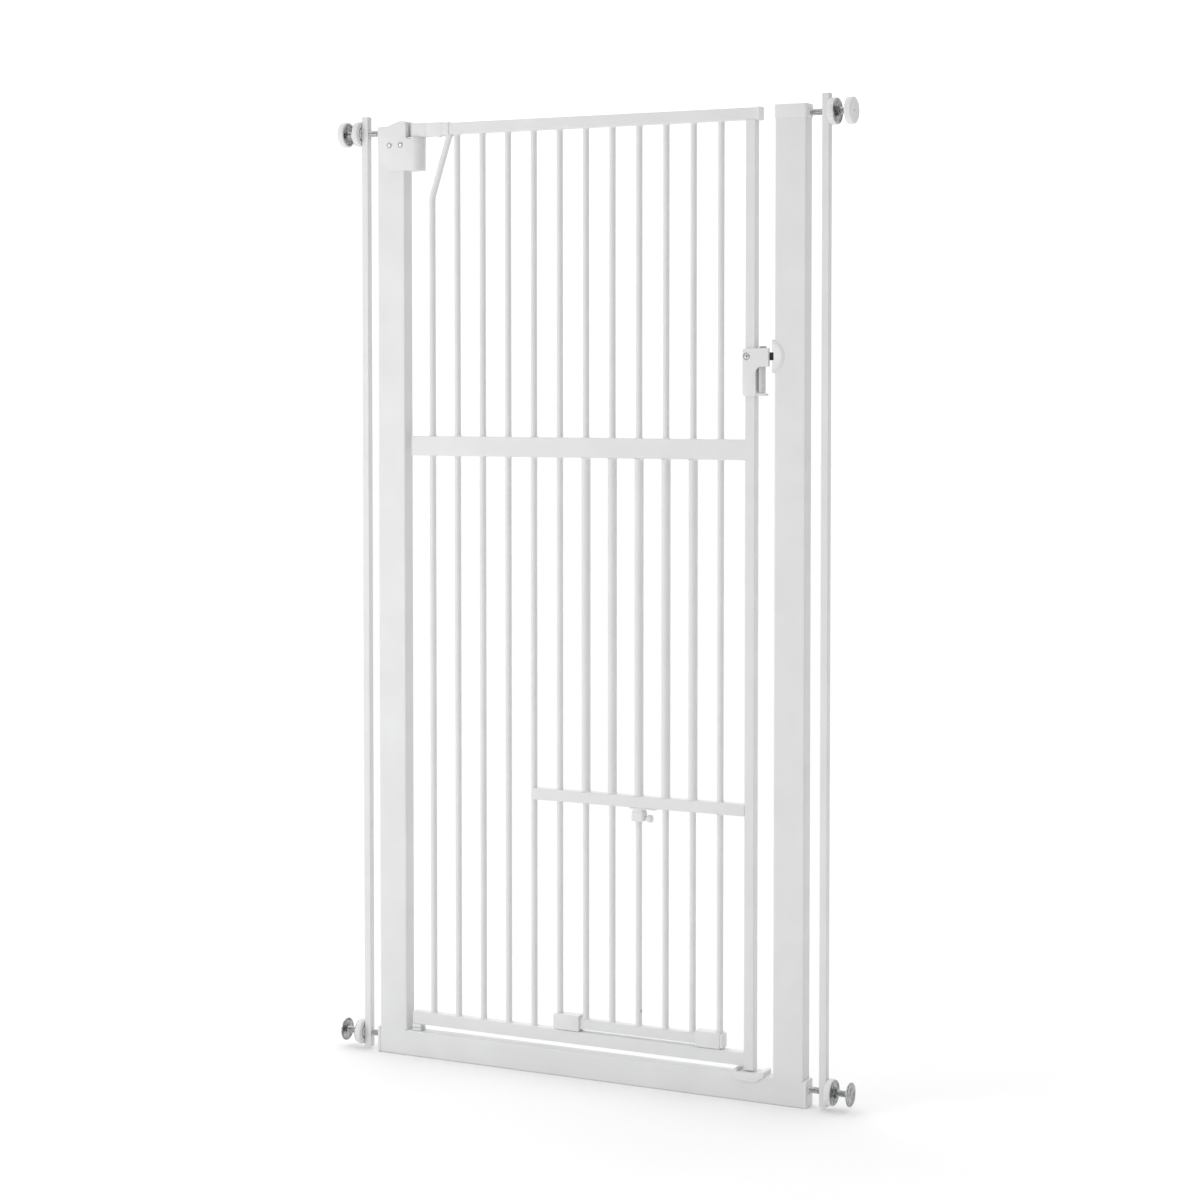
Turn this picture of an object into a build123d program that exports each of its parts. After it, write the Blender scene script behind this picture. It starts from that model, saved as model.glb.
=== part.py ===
from build123d import *
import math
import os

# Extra-tall pressure-mounted pet gate, in millimetres.
# Origin: middle of the gate, on the floor, in the mid-plane of its tubes.
# +X runs along the gate from the hinge side to the latch side, +Y is the back, +Z is up.

# ---- Frame ----
FRAME_WIDTH = 740.0            # over the outer faces of the two uprights
FRAME_HEIGHT = 1500.0          # floor to the top of the cap on the latch-side upright
UPRIGHT_WIDTH = 50.0
FRAME_DEPTH = 25.0             # front to back of every frame tube
FRAME_WALL = 1.5
FRAME_EDGE_RADIUS = 2.5
BOTTOM_RAIL_HEIGHT = 41.0
HINGE_UPRIGHT_DROP = 6.0       # the hinge-side upright ends this far below the top, inside its housing
END_CAP_THICKNESS = 4.5
END_CAP_PROUD = 1.0            # how far an end cap stands proud of the rail front, back and top
TOP_CAP_WALL = 1.5
TOP_CAP_HEIGHT = 20.0

# ---- Pressure hardware ----
PAD_STANDOFF = 72.0            # upright to the outer pads' faces, with the spindles wound in
SPINDLE_DIAMETER = 10.0
SPINDLE_TOP_Z = FRAME_HEIGHT - 13.0
SPINDLE_LOW_Z = 27.0
SPINDLE_PITCH = 1.5
SPINDLE_INSERTION = 38.0       # length inside the upright
SPINDLE_CLEARANCE = 0.3        # round a spindle, on the radius
THREAD_CLEARANCE = 0.08
BUSH_FLANGE_RADIUS = 7.0
BUSH_FLANGE_THICKNESS = 2.0
BUSH_SLEEVE_WALL = 0.9
PAD_DISC_RADIUS = 18.0
PAD_DISC_THICKNESS = 3.0
PAD_COVER_RADIUS = 20.0
PAD_COVER_FRONT = 6.5
PAD_COVER_LIP = 1.0
PAD_COVER_HOLE_RADIUS = 1.2
WHEEL_RADIUS = 20.0
WHEEL_THICKNESS = 10.0
WHEEL_EDGE_RADIUS = 2.0
WHEEL_GRIP_COUNT = 24
WHEEL_GRIP_RADIUS = 1.6
WHEEL_GAP = 0.5                # side bar to wheel
NUT_FLANGE_RADIUS = 19.0
NUT_FLANGE_THICKNESS = 1.5
NUT_HUB_RADIUS = 8.0
NUT_HUB_LENGTH = 6.5
NUT_HEX_RADIUS = 8.0
NUT_HEX_HEIGHT = 4.0

# ---- Side bars ----
SIDE_BAR_SIZE = 12.0           # along the gate
SIDE_BAR_LAND = 0.7            # front and back of a spindle's hole
SIDE_BAR_WALL = 1.2
SIDE_BAR_GAP = 22.0            # upright to side bar
SIDE_BAR_BOTTOM = 4.0
SIDE_BAR_TOP = FRAME_HEIGHT + 14.0
SIDE_BAR_PLUG = 2.0

# ---- Hinge line ----
HINGE_OFFSET = 15.0            # hinge axis to the inner face of the upright
HINGE_PIN_RADIUS = 4.0
HINGE_CLEARANCE = 0.08         # pin in its bush, on the radius
HOUSING_SKIN = 2.5             # shell over the front and back of the upright
HOUSING_LENGTH = 69.0          # height of the barrel's side of the housing, below the upright's top
HOUSING_INSET = 2.0            # housing edge to the outer face of the upright
HOUSING_CORNER_RADIUS = 36.0
HOUSING_TOP_WALL = 2.0
HOUSING_CROWN_RISE = 8.0       # raised part beside the hinge plug
HOUSING_CROWN_LENGTH = 34.0
HOUSING_CROWN_OVERHANG = 3.5   # past the upright's inner face
BARREL_TOP_DROP = 17.0         # from the upright's top down to the high side of the barrel
BARREL_SLOPE_DROP = 12.0
BUSH_RADIUS = 8.0
BUSH_COLLAR_EXTRA = 0.5        # collar radius beyond the barrel
HOUSING_SCREW_Z_DROP = 28.0
HOUSING_SCREW_X = (23.5, 44.0)  # from the outer face of the upright
SCREW_RADIUS = 1.9
SCREW_HEAD_RADIUS = 3.8
SCREW_HEAD_HEIGHT = 1.6
SCREW_CLEARANCE = 0.3

# ---- Door ----
DOOR_DEPTH = 16.0
DOOR_WALL = 1.2
DOOR_EDGE_RADIUS = 1.5
RAIL_OVERHANG = 6.0            # rail end past the hinge axis
STILE_WIDTH = 16.0
STILE_GAP = 33.5               # stile to the latch-side upright
TOP_RAIL_HEIGHT = 18.0
TOP_RAIL_DROP = 2.0            # below the top of the frame
TOP_RAIL_PAST_STILE = 2.0
TOP_RAIL_CAP = 5.0
MID_RAIL_Z = 970.5
MID_RAIL_HEIGHT = 31.0
LOW_RAIL_GAP = 11.0            # frame rail to door rail
LOW_RAIL_HEIGHT = 20.0
PLUG_THICKNESS = 2.0
PLUG_INSERT = 12.0
STILE_FOOT_GAP = 5.0           # frame rail to the stile's foot
BAR_COUNT = 12
BAR_DIAMETER = 10.0
BAR_WALL = 1.0
BAR_PITCH = 45.75
FIRST_BAR_OFFSET = 29.3        # hinge axis to the first bar
BENT_BAR_SPACING = 13.75       # its top to the next bar, between centres
BENT_BAR_RISE = 99.0           # height of the slanted stretch
BENT_BAR_BEND_RADIUS = 40.0

# ---- Hinge plug on the top rail ----
HINGE_PLUG_HALF_DEPTH = 9.5
HINGE_PLUG_PROUD = 2.0         # above and below the rail
HINGE_PLUG_REACH = 53.0        # axis to the end of the plug
HINGE_COLLAR_LENGTH = 11.0
HINGE_COLLAR_PROUD = 1.0
HINGE_PIN_LENGTH = 56.0
HINGE_PIN_GRIP = 14.0          # length of the upper pin held in the plug
HINGE_LIFT_GAP = 0.3           # plug to bush collar
PLUG_SCREW_FROM_AXIS = 43.5

# ---- Lower hinge ----
LOW_BRACKET_LEFT = 12.0
LOW_BRACKET_RIGHT = 13.0
LOW_BRACKET_HALF_DEPTH = 10.0
LOW_BRACKET_THICKNESS = 5.0
LOW_BRACKET_CORNER = 6.0
LOW_COLLAR_RADIUS = 11.5
LOW_COLLAR_GAP = 0.3           # bracket to collar
LOW_SPIGOT_RADIUS = 5.6         # where the collar passes through the wall of the door rail
LOW_PIN_ENGAGEMENT = 12.0      # inside the door rail

# ---- Pet door ----
PET_RAIL_Z = 432.0
PET_RAIL_HEIGHT = 18.0
PET_FIRST_BAR = 6              # the pet door's bars, counted from the hinge side
PET_LAST_BAR = 10
PET_BAR_CLEARANCE = 0.3
GUIDE_TUBE_DIAMETER = 14.0
PET_BAR_LENGTH = 548.0
PET_LIFT = 300.0
PET_RAIL_GAP = 4.5             # door rail to the pet door's rail
PET_LOW_RAIL_HEIGHT = 16.0
PET_LOW_RAIL_DEPTH = 12.0
SLEEVE_BAR_GAP = 3.65          # sleeve to the nearest sliding bar
SLEEVE_HEIGHT = 25.0
SLEEVE_HALF_DEPTH = 10.0
SLEEVE_END_WALL = 2.6
SLEEVE_REST_GAP = 0.4
SLEEVE_INSERTION = 16.0

# ---- Pet lock ----
LOCK_BAR = 8
LOCK_BODY_LEFT = 10.0          # from the lock's bar
LOCK_BODY_RIGHT = 11.5
LOCK_BODY_HEIGHT = 19.0
LOCK_HALF_DEPTH = 9.0
LOCK_FLANGE_THICKNESS = 2.0
LOCK_FLANGE_LEFT = 13.0
LOCK_FLANGE_RIGHT = 31.0
LOCK_KNOB_GAP = 4.4
LOCK_KNOB_THICKNESS = 7.0
LOCK_KNOB_RADIUS = 6.0
LOCK_PIN_RADIUS = 2.5
LOCK_PIN_DROP = 16.5           # pin axis below the pet rail
LOCK_TRAVEL = 4.0
LOCK_PIN_REST_GAP = 0.5        # pin tip to the bar, unlocked
LOCK_HOLE_DEPTH = 4.2

# ---- Latch ----
LATCH_Z = 1126.5               # bolt axis
LATCH_HEAD_ABOVE = 12.5
LATCH_HEAD_BELOW = 15.5
LATCH_HEAD_REACH = 23.5        # head past the stile
LATCH_HALF_DEPTH = 12.0
LATCH_SIDE_WALL = 2.3          # grip wall round the stile
LATCH_GRIP_LENGTH = 44.0       # below the head
LATCH_LIP_HEIGHT = 4.0
LATCH_LIP_REACH = 19.0
LATCH_FIT = 0.3
LATCH_WALL = 2.5
LATCH_CORNER_RADIUS = 3.0
BOLT_HEIGHT = 12.0
BOLT_DEPTH = 6.0
BOLT_PROUD = 8.3               # bolt tip past the head
TRIGGER_WIDTH = 5.5
TRIGGER_HALF_DEPTH = 8.0
TRIGGER_GAP = 3.5              # grip to trigger
TRIGGER_TRAVEL = 3.0
BUTTON_LENGTH = 10.5
BUTTON_DEPTH = 9.0
BUTTON_PROUD = 2.8
BUTTON_FLANGE = 1.2
LATCH_SCREW_FROM_STILE = 4.0
LATCH_SCREW_HEAD_RADIUS = 4.5

# ---- Strike ----
STRIKE_RADIUS = 25.7
STRIKE_CENTRE_INSET = 9.0      # disc centre to the upright's inner face
STRIKE_LINING = 3.5            # thickness on the upright's inner face
STRIKE_SKIN = 2.0
STRIKE_SLOT_FIT = 0.8          # above and below the bolt
STRIKE_WEB = 0.9

# ---- Floor catch ----
CATCH_LEFT = 14.5              # past the stile's hinge side
CATCH_RIGHT = 20.0             # past the stile's latch side
CATCH_THICKNESS = 3.0
CATCH_SKIN = 2.5
CATCH_DROP = 10.0              # front and back lips below the rail's top
CATCH_STOP_HEIGHT = 3.5
CATCH_STOP_LENGTH = 6.0
CATCH_TAPER = 7.0

# ---- Places worked out from the sizes above ----
UPRIGHT_OUTER_X = FRAME_WIDTH / 2
UPRIGHT_INNER_X = UPRIGHT_OUTER_X - UPRIGHT_WIDTH
HALF_DEPTH = FRAME_DEPTH / 2
HINGE_X = -UPRIGHT_INNER_X + HINGE_OFFSET
RAIL_LEFT_X = HINGE_X - RAIL_OVERHANG
STILE_RIGHT_X = UPRIGHT_INNER_X - STILE_GAP
STILE_LEFT_X = STILE_RIGHT_X - STILE_WIDTH
HINGE_UPRIGHT_TOP = FRAME_HEIGHT - HINGE_UPRIGHT_DROP
TOP_RAIL_TOP = FRAME_HEIGHT - TOP_RAIL_DROP
TOP_RAIL_Z = TOP_RAIL_TOP - TOP_RAIL_HEIGHT
MID_RAIL_TOP = MID_RAIL_Z + MID_RAIL_HEIGHT
LOW_RAIL_Z = BOTTOM_RAIL_HEIGHT + LOW_RAIL_GAP
LOW_RAIL_TOP = LOW_RAIL_Z + LOW_RAIL_HEIGHT
STILE_FOOT_Z = BOTTOM_RAIL_HEIGHT + STILE_FOOT_GAP
PET_RAIL_TOP = PET_RAIL_Z + PET_RAIL_HEIGHT
PET_LOW_RAIL_Z = LOW_RAIL_TOP + PET_RAIL_GAP
PET_LOW_RAIL_TOP = PET_LOW_RAIL_Z + PET_LOW_RAIL_HEIGHT
SIDE_BAR_INNER_X = UPRIGHT_OUTER_X + SIDE_BAR_GAP
SIDE_BAR_OUTER_X = SIDE_BAR_INNER_X + SIDE_BAR_SIZE
SIDE_BAR_DEPTH = SPINDLE_DIAMETER + 2 * (SPINDLE_CLEARANCE + SIDE_BAR_LAND)
WHEEL_INNER_X = SIDE_BAR_OUTER_X + WHEEL_GAP
WHEEL_OUTER_X = WHEEL_INNER_X + WHEEL_THICKNESS
PAD_FACE_X = UPRIGHT_OUTER_X + PAD_STANDOFF
SPINDLE_RADIUS = SPINDLE_DIAMETER / 2
BAR_RADIUS = BAR_DIAMETER / 2
PET_BORE_RADIUS = BAR_RADIUS + PET_BAR_CLEARANCE
BENT_BAR_SHIFT = BAR_PITCH - BENT_BAR_SPACING
SLEEVE_LENGTH = BAR_PITCH + PET_BORE_RADIUS + SLEEVE_END_WALL - BAR_RADIUS - SLEEVE_BAR_GAP
BARREL_RADIUS = HALF_DEPTH + HOUSING_SKIN
LATCH_HEAD_X = STILE_RIGHT_X + LATCH_HEAD_REACH
BOLT_TIP_X = LATCH_HEAD_X + BOLT_PROUD
GRIP_RIGHT_X = STILE_RIGHT_X + LATCH_SIDE_WALL
TRIGGER_X = GRIP_RIGHT_X + TRIGGER_GAP
BARREL_TOP_Z = HINGE_UPRIGHT_TOP - BARREL_TOP_DROP
PLUG_BOTTOM_Z = TOP_RAIL_Z - HINGE_PLUG_PROUD
CROWN_RIGHT_X = -UPRIGHT_INNER_X + HOUSING_CROWN_OVERHANG


def bar_x(index):
    """X of a door bar, counted from the hinge side."""
    return HINGE_X + FIRST_BAR_OFFSET + BAR_PITCH * index


def block(x0, x1, y0, y1, z0, z1):
    """A box between two corners."""
    centre = Pos((x0 + x1) / 2, (y0 + y1) / 2, (z0 + z1) / 2)
    return centre * Box(abs(x1 - x0), abs(y1 - y0), abs(z1 - z0))


def rod_x(x0, x1, z, radius):
    """A round rod along X, in the mid-plane."""
    return Pos((x0 + x1) / 2, 0, z) * Rot(0, 90, 0) * Cylinder(radius, abs(x1 - x0))


def rod_y(x, y0, y1, z, radius):
    """A round rod along Y."""
    return Pos(x, (y0 + y1) / 2, z) * Rot(90, 0, 0) * Cylinder(radius, abs(y1 - y0))


def rod_z(x, z0, z1, radius):
    """A round rod along Z, in the mid-plane."""
    return Pos(x, 0, (z0 + z1) / 2) * Cylinder(radius, abs(z1 - z0))


def bar_along_x(x0, x1, depth, z0, z1, radius):
    """A rectangular bar along X with rounded long edges, centred on the mid-plane."""
    section = RectangleRounded(depth, z1 - z0, radius)
    plane = Plane(origin=(x0, 0, (z0 + z1) / 2), x_dir=(0, 1, 0), z_dir=(1, 0, 0))
    return extrude(plane * section, x1 - x0)


def bar_along_z(x0, x1, depth, z0, z1, radius):
    """A rectangular bar along Z with rounded long edges, centred on the mid-plane."""
    section = RectangleRounded(x1 - x0, depth, radius)
    return extrude(Pos((x0 + x1) / 2, 0, z0) * section, z1 - z0)


def tube_along_x(x0, x1, depth, z0, z1, wall, radius):
    """A rectangular tube along X, open at both ends."""
    inner_radius = max(radius - wall, radius / 4)
    bore = bar_along_x(x0, x1, depth - 2 * wall, z0 + wall, z1 - wall, inner_radius)
    return bar_along_x(x0, x1, depth, z0, z1, radius) - bore


def tube_along_z(x0, x1, depth, z0, z1, wall, radius):
    """A rectangular tube along Z, open at both ends."""
    inner_radius = max(radius - wall, radius / 4)
    bore = bar_along_z(x0 + wall, x1 - wall, depth - 2 * wall, z0, z1, inner_radius)
    return bar_along_z(x0, x1, depth, z0, z1, radius) - bore


def slab_y(points, y0, y1):
    """A flat plate with an outline in X and Z, from y0 to y1 (y0 < y1)."""
    outline = Plane.XZ.offset(-y1) * Polygon(*points, align=None)
    return extrude(outline, y1 - y0)


def mirrored(shape):
    """The same shape on the other side of the gate."""
    return mirror(shape, Plane.YZ)


def group(shapes):
    """Separate solids that share one node."""
    solids = []
    for shape in shapes:
        solids += shape.solids()
    return Compound(solids)


# ---- Frame ----
def make_upright(x0, x1, top):
    """An upright tube, from the top of the bottom rail, with the hole for its upper spindle."""
    tube = tube_along_z(x0, x1, FRAME_DEPTH, BOTTOM_RAIL_HEIGHT, top, FRAME_WALL, FRAME_EDGE_RADIUS)
    outer = x0 if abs(x0) > abs(x1) else x1
    inward = -math.copysign(2 * FRAME_WALL, outer)
    hole = SPINDLE_RADIUS + SPINDLE_CLEARANCE + BUSH_SLEEVE_WALL
    return tube - rod_x(outer - inward, outer + inward, SPINDLE_TOP_Z, hole)


def make_left_upright():
    upright = make_upright(-UPRIGHT_OUTER_X, -UPRIGHT_INNER_X, HINGE_UPRIGHT_TOP)
    for x, z in housing_screw_places():
        upright -= rod_y(x, -FRAME_DEPTH, FRAME_DEPTH, z, SCREW_RADIUS + SCREW_CLEARANCE)
    return upright


def make_right_upright():
    return make_upright(UPRIGHT_INNER_X, UPRIGHT_OUTER_X, FRAME_HEIGHT - TOP_CAP_WALL)


def make_bottom_rail():
    return tube_along_x(-UPRIGHT_OUTER_X, UPRIGHT_OUTER_X, FRAME_DEPTH, 0, BOTTOM_RAIL_HEIGHT,
                        FRAME_WALL, FRAME_EDGE_RADIUS)


def make_end_cap():
    """A cap on the latch-side end of the bottom rail, with the hole for the lower spindle."""
    face_x = UPRIGHT_OUTER_X + END_CAP_THICKNESS
    plate = bar_along_x(UPRIGHT_OUTER_X, face_x, FRAME_DEPTH + 2 * END_CAP_PROUD, 0,
                        BOTTOM_RAIL_HEIGHT + END_CAP_PROUD, FRAME_EDGE_RADIUS)
    clear = SPINDLE_RADIUS + SPINDLE_CLEARANCE + BUSH_SLEEVE_WALL
    return plate - rod_x(UPRIGHT_OUTER_X, face_x, SPINDLE_LOW_Z, clear)


def make_top_cap():
    """The slip-over cap on the latch-side upright."""
    x0, x1 = UPRIGHT_INNER_X, UPRIGHT_OUTER_X
    top = FRAME_HEIGHT
    cap = bar_along_z(x0 - TOP_CAP_WALL, x1 + TOP_CAP_WALL, FRAME_DEPTH + 2 * TOP_CAP_WALL,
                      top - TOP_CAP_HEIGHT, top, FRAME_EDGE_RADIUS + TOP_CAP_WALL)
    cap -= bar_along_z(x0, x1, FRAME_DEPTH, top - TOP_CAP_HEIGHT, top - TOP_CAP_WALL, FRAME_EDGE_RADIUS)
    clear = SPINDLE_RADIUS + SPINDLE_CLEARANCE + BUSH_SLEEVE_WALL
    return cap - rod_x(x1 - TOP_CAP_WALL, x1 + 2 * TOP_CAP_WALL, SPINDLE_TOP_Z, clear)


def make_spindle_bush(seat_x, z):
    """A flanged bush for a spindle, seated at seat_x on the latch side."""
    sleeve = SPINDLE_RADIUS + SPINDLE_CLEARANCE + BUSH_SLEEVE_WALL
    depth = seat_x - UPRIGHT_OUTER_X + FRAME_WALL
    bush = rod_x(seat_x, seat_x + BUSH_FLANGE_THICKNESS, z, BUSH_FLANGE_RADIUS)
    bush += rod_x(seat_x - depth, seat_x, z, sleeve)
    return bush - rod_x(seat_x - depth, seat_x + BUSH_FLANGE_THICKNESS, z, SPINDLE_RADIUS + SPINDLE_CLEARANCE)


def make_spindle_bushes():
    cap_seat = UPRIGHT_OUTER_X + END_CAP_THICKNESS
    low = make_spindle_bush(cap_seat, SPINDLE_LOW_Z)
    left_top = mirrored(make_spindle_bush(UPRIGHT_OUTER_X, SPINDLE_TOP_Z))
    right_top = make_spindle_bush(UPRIGHT_OUTER_X + TOP_CAP_WALL, SPINDLE_TOP_Z)
    return group([left_top, right_top, low, mirrored(low)])


# ---- Hinge housing ----
def housing_screw_places():
    z = HINGE_UPRIGHT_TOP - HOUSING_SCREW_Z_DROP
    return [(-UPRIGHT_OUTER_X + x, z) for x in HOUSING_SCREW_X]


def barrel_cutter(extra_z):
    """Everything above the barrel's sloping top, raised by extra_z, right of the upright."""
    x0, x1 = CROWN_RIGHT_X, HINGE_X + 2 * BARREL_RADIUS
    slope = BARREL_SLOPE_DROP / (2 * BARREL_RADIUS)
    high = BARREL_TOP_Z + extra_z
    low = high - slope * (x1 - x0)
    roof = HINGE_UPRIGHT_TOP + 4 * HOUSING_CROWN_RISE
    return slab_y([(x0, high), (x1, low), (x1, roof), (x0, roof)], -2 * BARREL_RADIUS, 2 * BARREL_RADIUS)


def make_housing_block():
    """Both housing shells as one block, before they are hollowed and split."""
    left = -UPRIGHT_OUTER_X + HOUSING_INSET
    top = HINGE_UPRIGHT_TOP + HOUSING_TOP_WALL
    crown_left = CROWN_RIGHT_X - HOUSING_CROWN_LENGTH
    crown_top = top + HOUSING_CROWN_RISE
    bottom = HINGE_UPRIGHT_TOP - HOUSING_LENGTH
    y0, y1 = -BARREL_RADIUS, BARREL_RADIUS
    plate = block(left, -UPRIGHT_INNER_X, y0, y1, bottom, top)
    corner = plate.edges().filter_by(Axis.Y).sort_by(Axis.X)[:2].sort_by(Axis.Z)[0]
    plate = fillet(corner, HOUSING_CORNER_RADIUS)
    crown = block(crown_left, CROWN_RIGHT_X, y0, y1, top - 1, crown_top)
    shoulder = crown.edges().filter_by(Axis.Y).sort_by(Axis.Z)[2:].sort_by(Axis.X)[0]
    crown = fillet(shoulder, HOUSING_CROWN_RISE)
    neck = block(-UPRIGHT_INNER_X, CROWN_RIGHT_X, y0, y1, BARREL_TOP_Z, top)
    barrel = rod_z(HINGE_X, bottom, BARREL_TOP_Z, BARREL_RADIUS)
    barrel += block(-UPRIGHT_INNER_X, HINGE_X, y0, y1, bottom, BARREL_TOP_Z)
    barrel -= barrel_cutter(0)
    return plate + crown + neck + barrel


def make_housing_shells():
    """The front and the back shell, which meet in the mid-plane."""
    shell = make_housing_block()
    shell -= block(-UPRIGHT_OUTER_X, -UPRIGHT_INNER_X, -HALF_DEPTH, HALF_DEPTH, 0, HINGE_UPRIGHT_TOP)
    shell -= rod_z(HINGE_X, 0, FRAME_HEIGHT, BUSH_RADIUS)
    for x, z in housing_screw_places():
        shell -= rod_y(x, -BARREL_RADIUS, HALF_DEPTH + HOUSING_SKIN / 2, z, SCREW_RADIUS)
    reach = block(-FRAME_WIDTH, 0, -FRAME_WIDTH, 0, 0, 2 * FRAME_HEIGHT)
    front = shell & reach
    back = shell - reach
    return front, back


def make_hinge_bush():
    """The bush in the barrel; its collar fills the space above the barrel's sloping top."""
    bottom = HINGE_UPRIGHT_TOP - HOUSING_LENGTH
    collar_top = PLUG_BOTTOM_Z - HINGE_LIFT_GAP
    collar = rod_z(HINGE_X, bottom, collar_top, BARREL_RADIUS + BUSH_COLLAR_EXTRA) & barrel_cutter(0)
    bush = rod_z(HINGE_X, bottom, BARREL_TOP_Z, BUSH_RADIUS) + collar
    return bush - rod_z(HINGE_X, bottom, collar_top, HINGE_PIN_RADIUS + HINGE_CLEARANCE)


def make_cross_screw(x, front_y, z, shank_end, head_radius):
    """A pan-head cross-recess screw with its head on the front."""
    head = rod_y(x, front_y - SCREW_HEAD_HEIGHT, front_y, z, head_radius)
    head = fillet(head.edges().sort_by(Axis.Y)[0], SCREW_HEAD_HEIGHT / 2)
    arm = head_radius * 0.6
    slot = SCREW_HEAD_HEIGHT / 2
    deep = front_y - SCREW_HEAD_HEIGHT + slot
    for half_x, half_z in ((arm, slot / 2), (slot / 2, arm)):
        head -= block(x - half_x, x + half_x, front_y - 2 * SCREW_HEAD_HEIGHT, deep, z - half_z, z + half_z)
    return head + rod_y(x, front_y, shank_end, z, SCREW_RADIUS)


def make_housing_screws():
    end = HALF_DEPTH + HOUSING_SKIN / 2
    return group([make_cross_screw(x, -BARREL_RADIUS, z, end, SCREW_HEAD_RADIUS)
                  for x, z in housing_screw_places()])


# ---- Lower hinge ----
def make_lower_hinge_bracket():
    """A plate on the bottom rail with the lower hinge pin standing in it."""
    top = BOTTOM_RAIL_HEIGHT + LOW_BRACKET_THICKNESS
    plate = block(HINGE_X - LOW_BRACKET_LEFT, HINGE_X + LOW_BRACKET_RIGHT, -LOW_BRACKET_HALF_DEPTH,
                  LOW_BRACKET_HALF_DEPTH, BOTTOM_RAIL_HEIGHT, top)
    plate = fillet(plate.edges().filter_by(Axis.Z), LOW_BRACKET_CORNER)
    return plate + rod_z(HINGE_X, top, LOW_RAIL_Z + LOW_PIN_ENGAGEMENT, HINGE_PIN_RADIUS)


# ---- Strike and floor catch ----
def make_latch_strike():
    """A round-cheeked saddle on the upright, with a slot across it for the latch bolt."""
    half = HALF_DEPTH + STRIKE_SKIN
    inner = UPRIGHT_INNER_X - STRIKE_LINING
    disc = rod_y(UPRIGHT_INNER_X - STRIKE_CENTRE_INSET, -half, half, LATCH_Z, STRIKE_RADIUS)
    disc -= block(0, inner, -half, half, LATCH_Z - STRIKE_RADIUS, LATCH_Z + STRIKE_RADIUS)
    disc -= block(UPRIGHT_INNER_X, FRAME_WIDTH, -HALF_DEPTH, HALF_DEPTH, LATCH_Z - STRIKE_RADIUS,
                  LATCH_Z + STRIKE_RADIUS)
    reach = BOLT_HEIGHT / 2 + STRIKE_SLOT_FIT
    return disc - block(0, UPRIGHT_INNER_X - STRIKE_WEB, -half, half, LATCH_Z - reach, LATCH_Z + reach)


def make_floor_catch():
    """A clip over the bottom rail under the stile, with a stop at each side of the stile's foot."""
    x0, x1 = STILE_LEFT_X - CATCH_LEFT, STILE_RIGHT_X + CATCH_RIGHT
    half = HALF_DEPTH + CATCH_SKIN
    rail_top = BOTTOM_RAIL_HEIGHT
    top = rail_top + CATCH_THICKNESS
    clip = slab_y([(x0, top), (x0, rail_top), (x0 + CATCH_TAPER, rail_top - CATCH_DROP),
                   (x1 - 2 * CATCH_TAPER, rail_top - CATCH_DROP), (x1, rail_top), (x1, top)], -half, half)
    clip -= bar_along_x(x0, x1, FRAME_DEPTH, 0, rail_top, FRAME_EDGE_RADIUS)
    clip += block(x0, x0 + CATCH_STOP_LENGTH, -half, half, top, top + CATCH_STOP_HEIGHT)
    stop = slab_y([(x1 - 2 * CATCH_STOP_LENGTH, top), (x1, top), (x1, top + CATCH_STOP_HEIGHT),
                   (x1 - CATCH_STOP_LENGTH, top + CATCH_STOP_HEIGHT)], -half, half)
    return clip + stop


# ---- Side bars ----
def make_side_bar():
    bottom, top = SIDE_BAR_BOTTOM + SIDE_BAR_PLUG, SIDE_BAR_TOP - SIDE_BAR_PLUG
    bar = tube_along_z(SIDE_BAR_INNER_X, SIDE_BAR_OUTER_X, SIDE_BAR_DEPTH, bottom, top,
                       SIDE_BAR_WALL, DOOR_EDGE_RADIUS)
    for z in (SPINDLE_LOW_Z, SPINDLE_TOP_Z):
        bar -= rod_x(SIDE_BAR_INNER_X, SIDE_BAR_OUTER_X, z, SPINDLE_RADIUS + SPINDLE_CLEARANCE)
    return bar


def make_side_bar_plugs():
    """The two end plugs of a side bar, which stop short of the spindle holes."""
    x0, x1 = SIDE_BAR_INNER_X, SIDE_BAR_OUTER_X
    core = SIDE_BAR_DEPTH - 2 * SIDE_BAR_WALL
    insert = SIDE_BAR_TOP - SPINDLE_TOP_Z - 2 * SPINDLE_RADIUS - SIDE_BAR_PLUG
    edge = DOOR_EDGE_RADIUS
    plugs = []
    for outer, inner, sign in ((SIDE_BAR_BOTTOM, SIDE_BAR_BOTTOM + SIDE_BAR_PLUG, 1),
                               (SIDE_BAR_TOP, SIDE_BAR_TOP - SIDE_BAR_PLUG, -1)):
        low, high = min(outer, inner), max(outer, inner)
        head = bar_along_z(x0, x1, SIDE_BAR_DEPTH, low, high, edge)
        end = inner + sign * insert / 2
        stem = bar_along_z(x0 + SIDE_BAR_WALL, x1 - SIDE_BAR_WALL, core, min(inner, end), max(inner, end),
                           edge / 4)
        plugs.append(head + stem)
    return group(plugs)


# ---- Spindles and wheel nuts ----
def make_spindle(z, disc_inner_x):
    """A threaded rod on the latch side, riveted in the middle of its pad disc."""
    rod = rod_x(UPRIGHT_OUTER_X - SPINDLE_INSERTION, disc_inner_x, z, SPINDLE_RADIUS)
    rod = chamfer(rod.edges().filter_by(GeomType.CIRCLE).sort_by(Axis.X)[0], 1.0)
    rivet = rod_x(disc_inner_x, disc_inner_x + PAD_DISC_THICKNESS / 2, z, SPINDLE_RADIUS / 2)
    return rod + rivet


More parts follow.
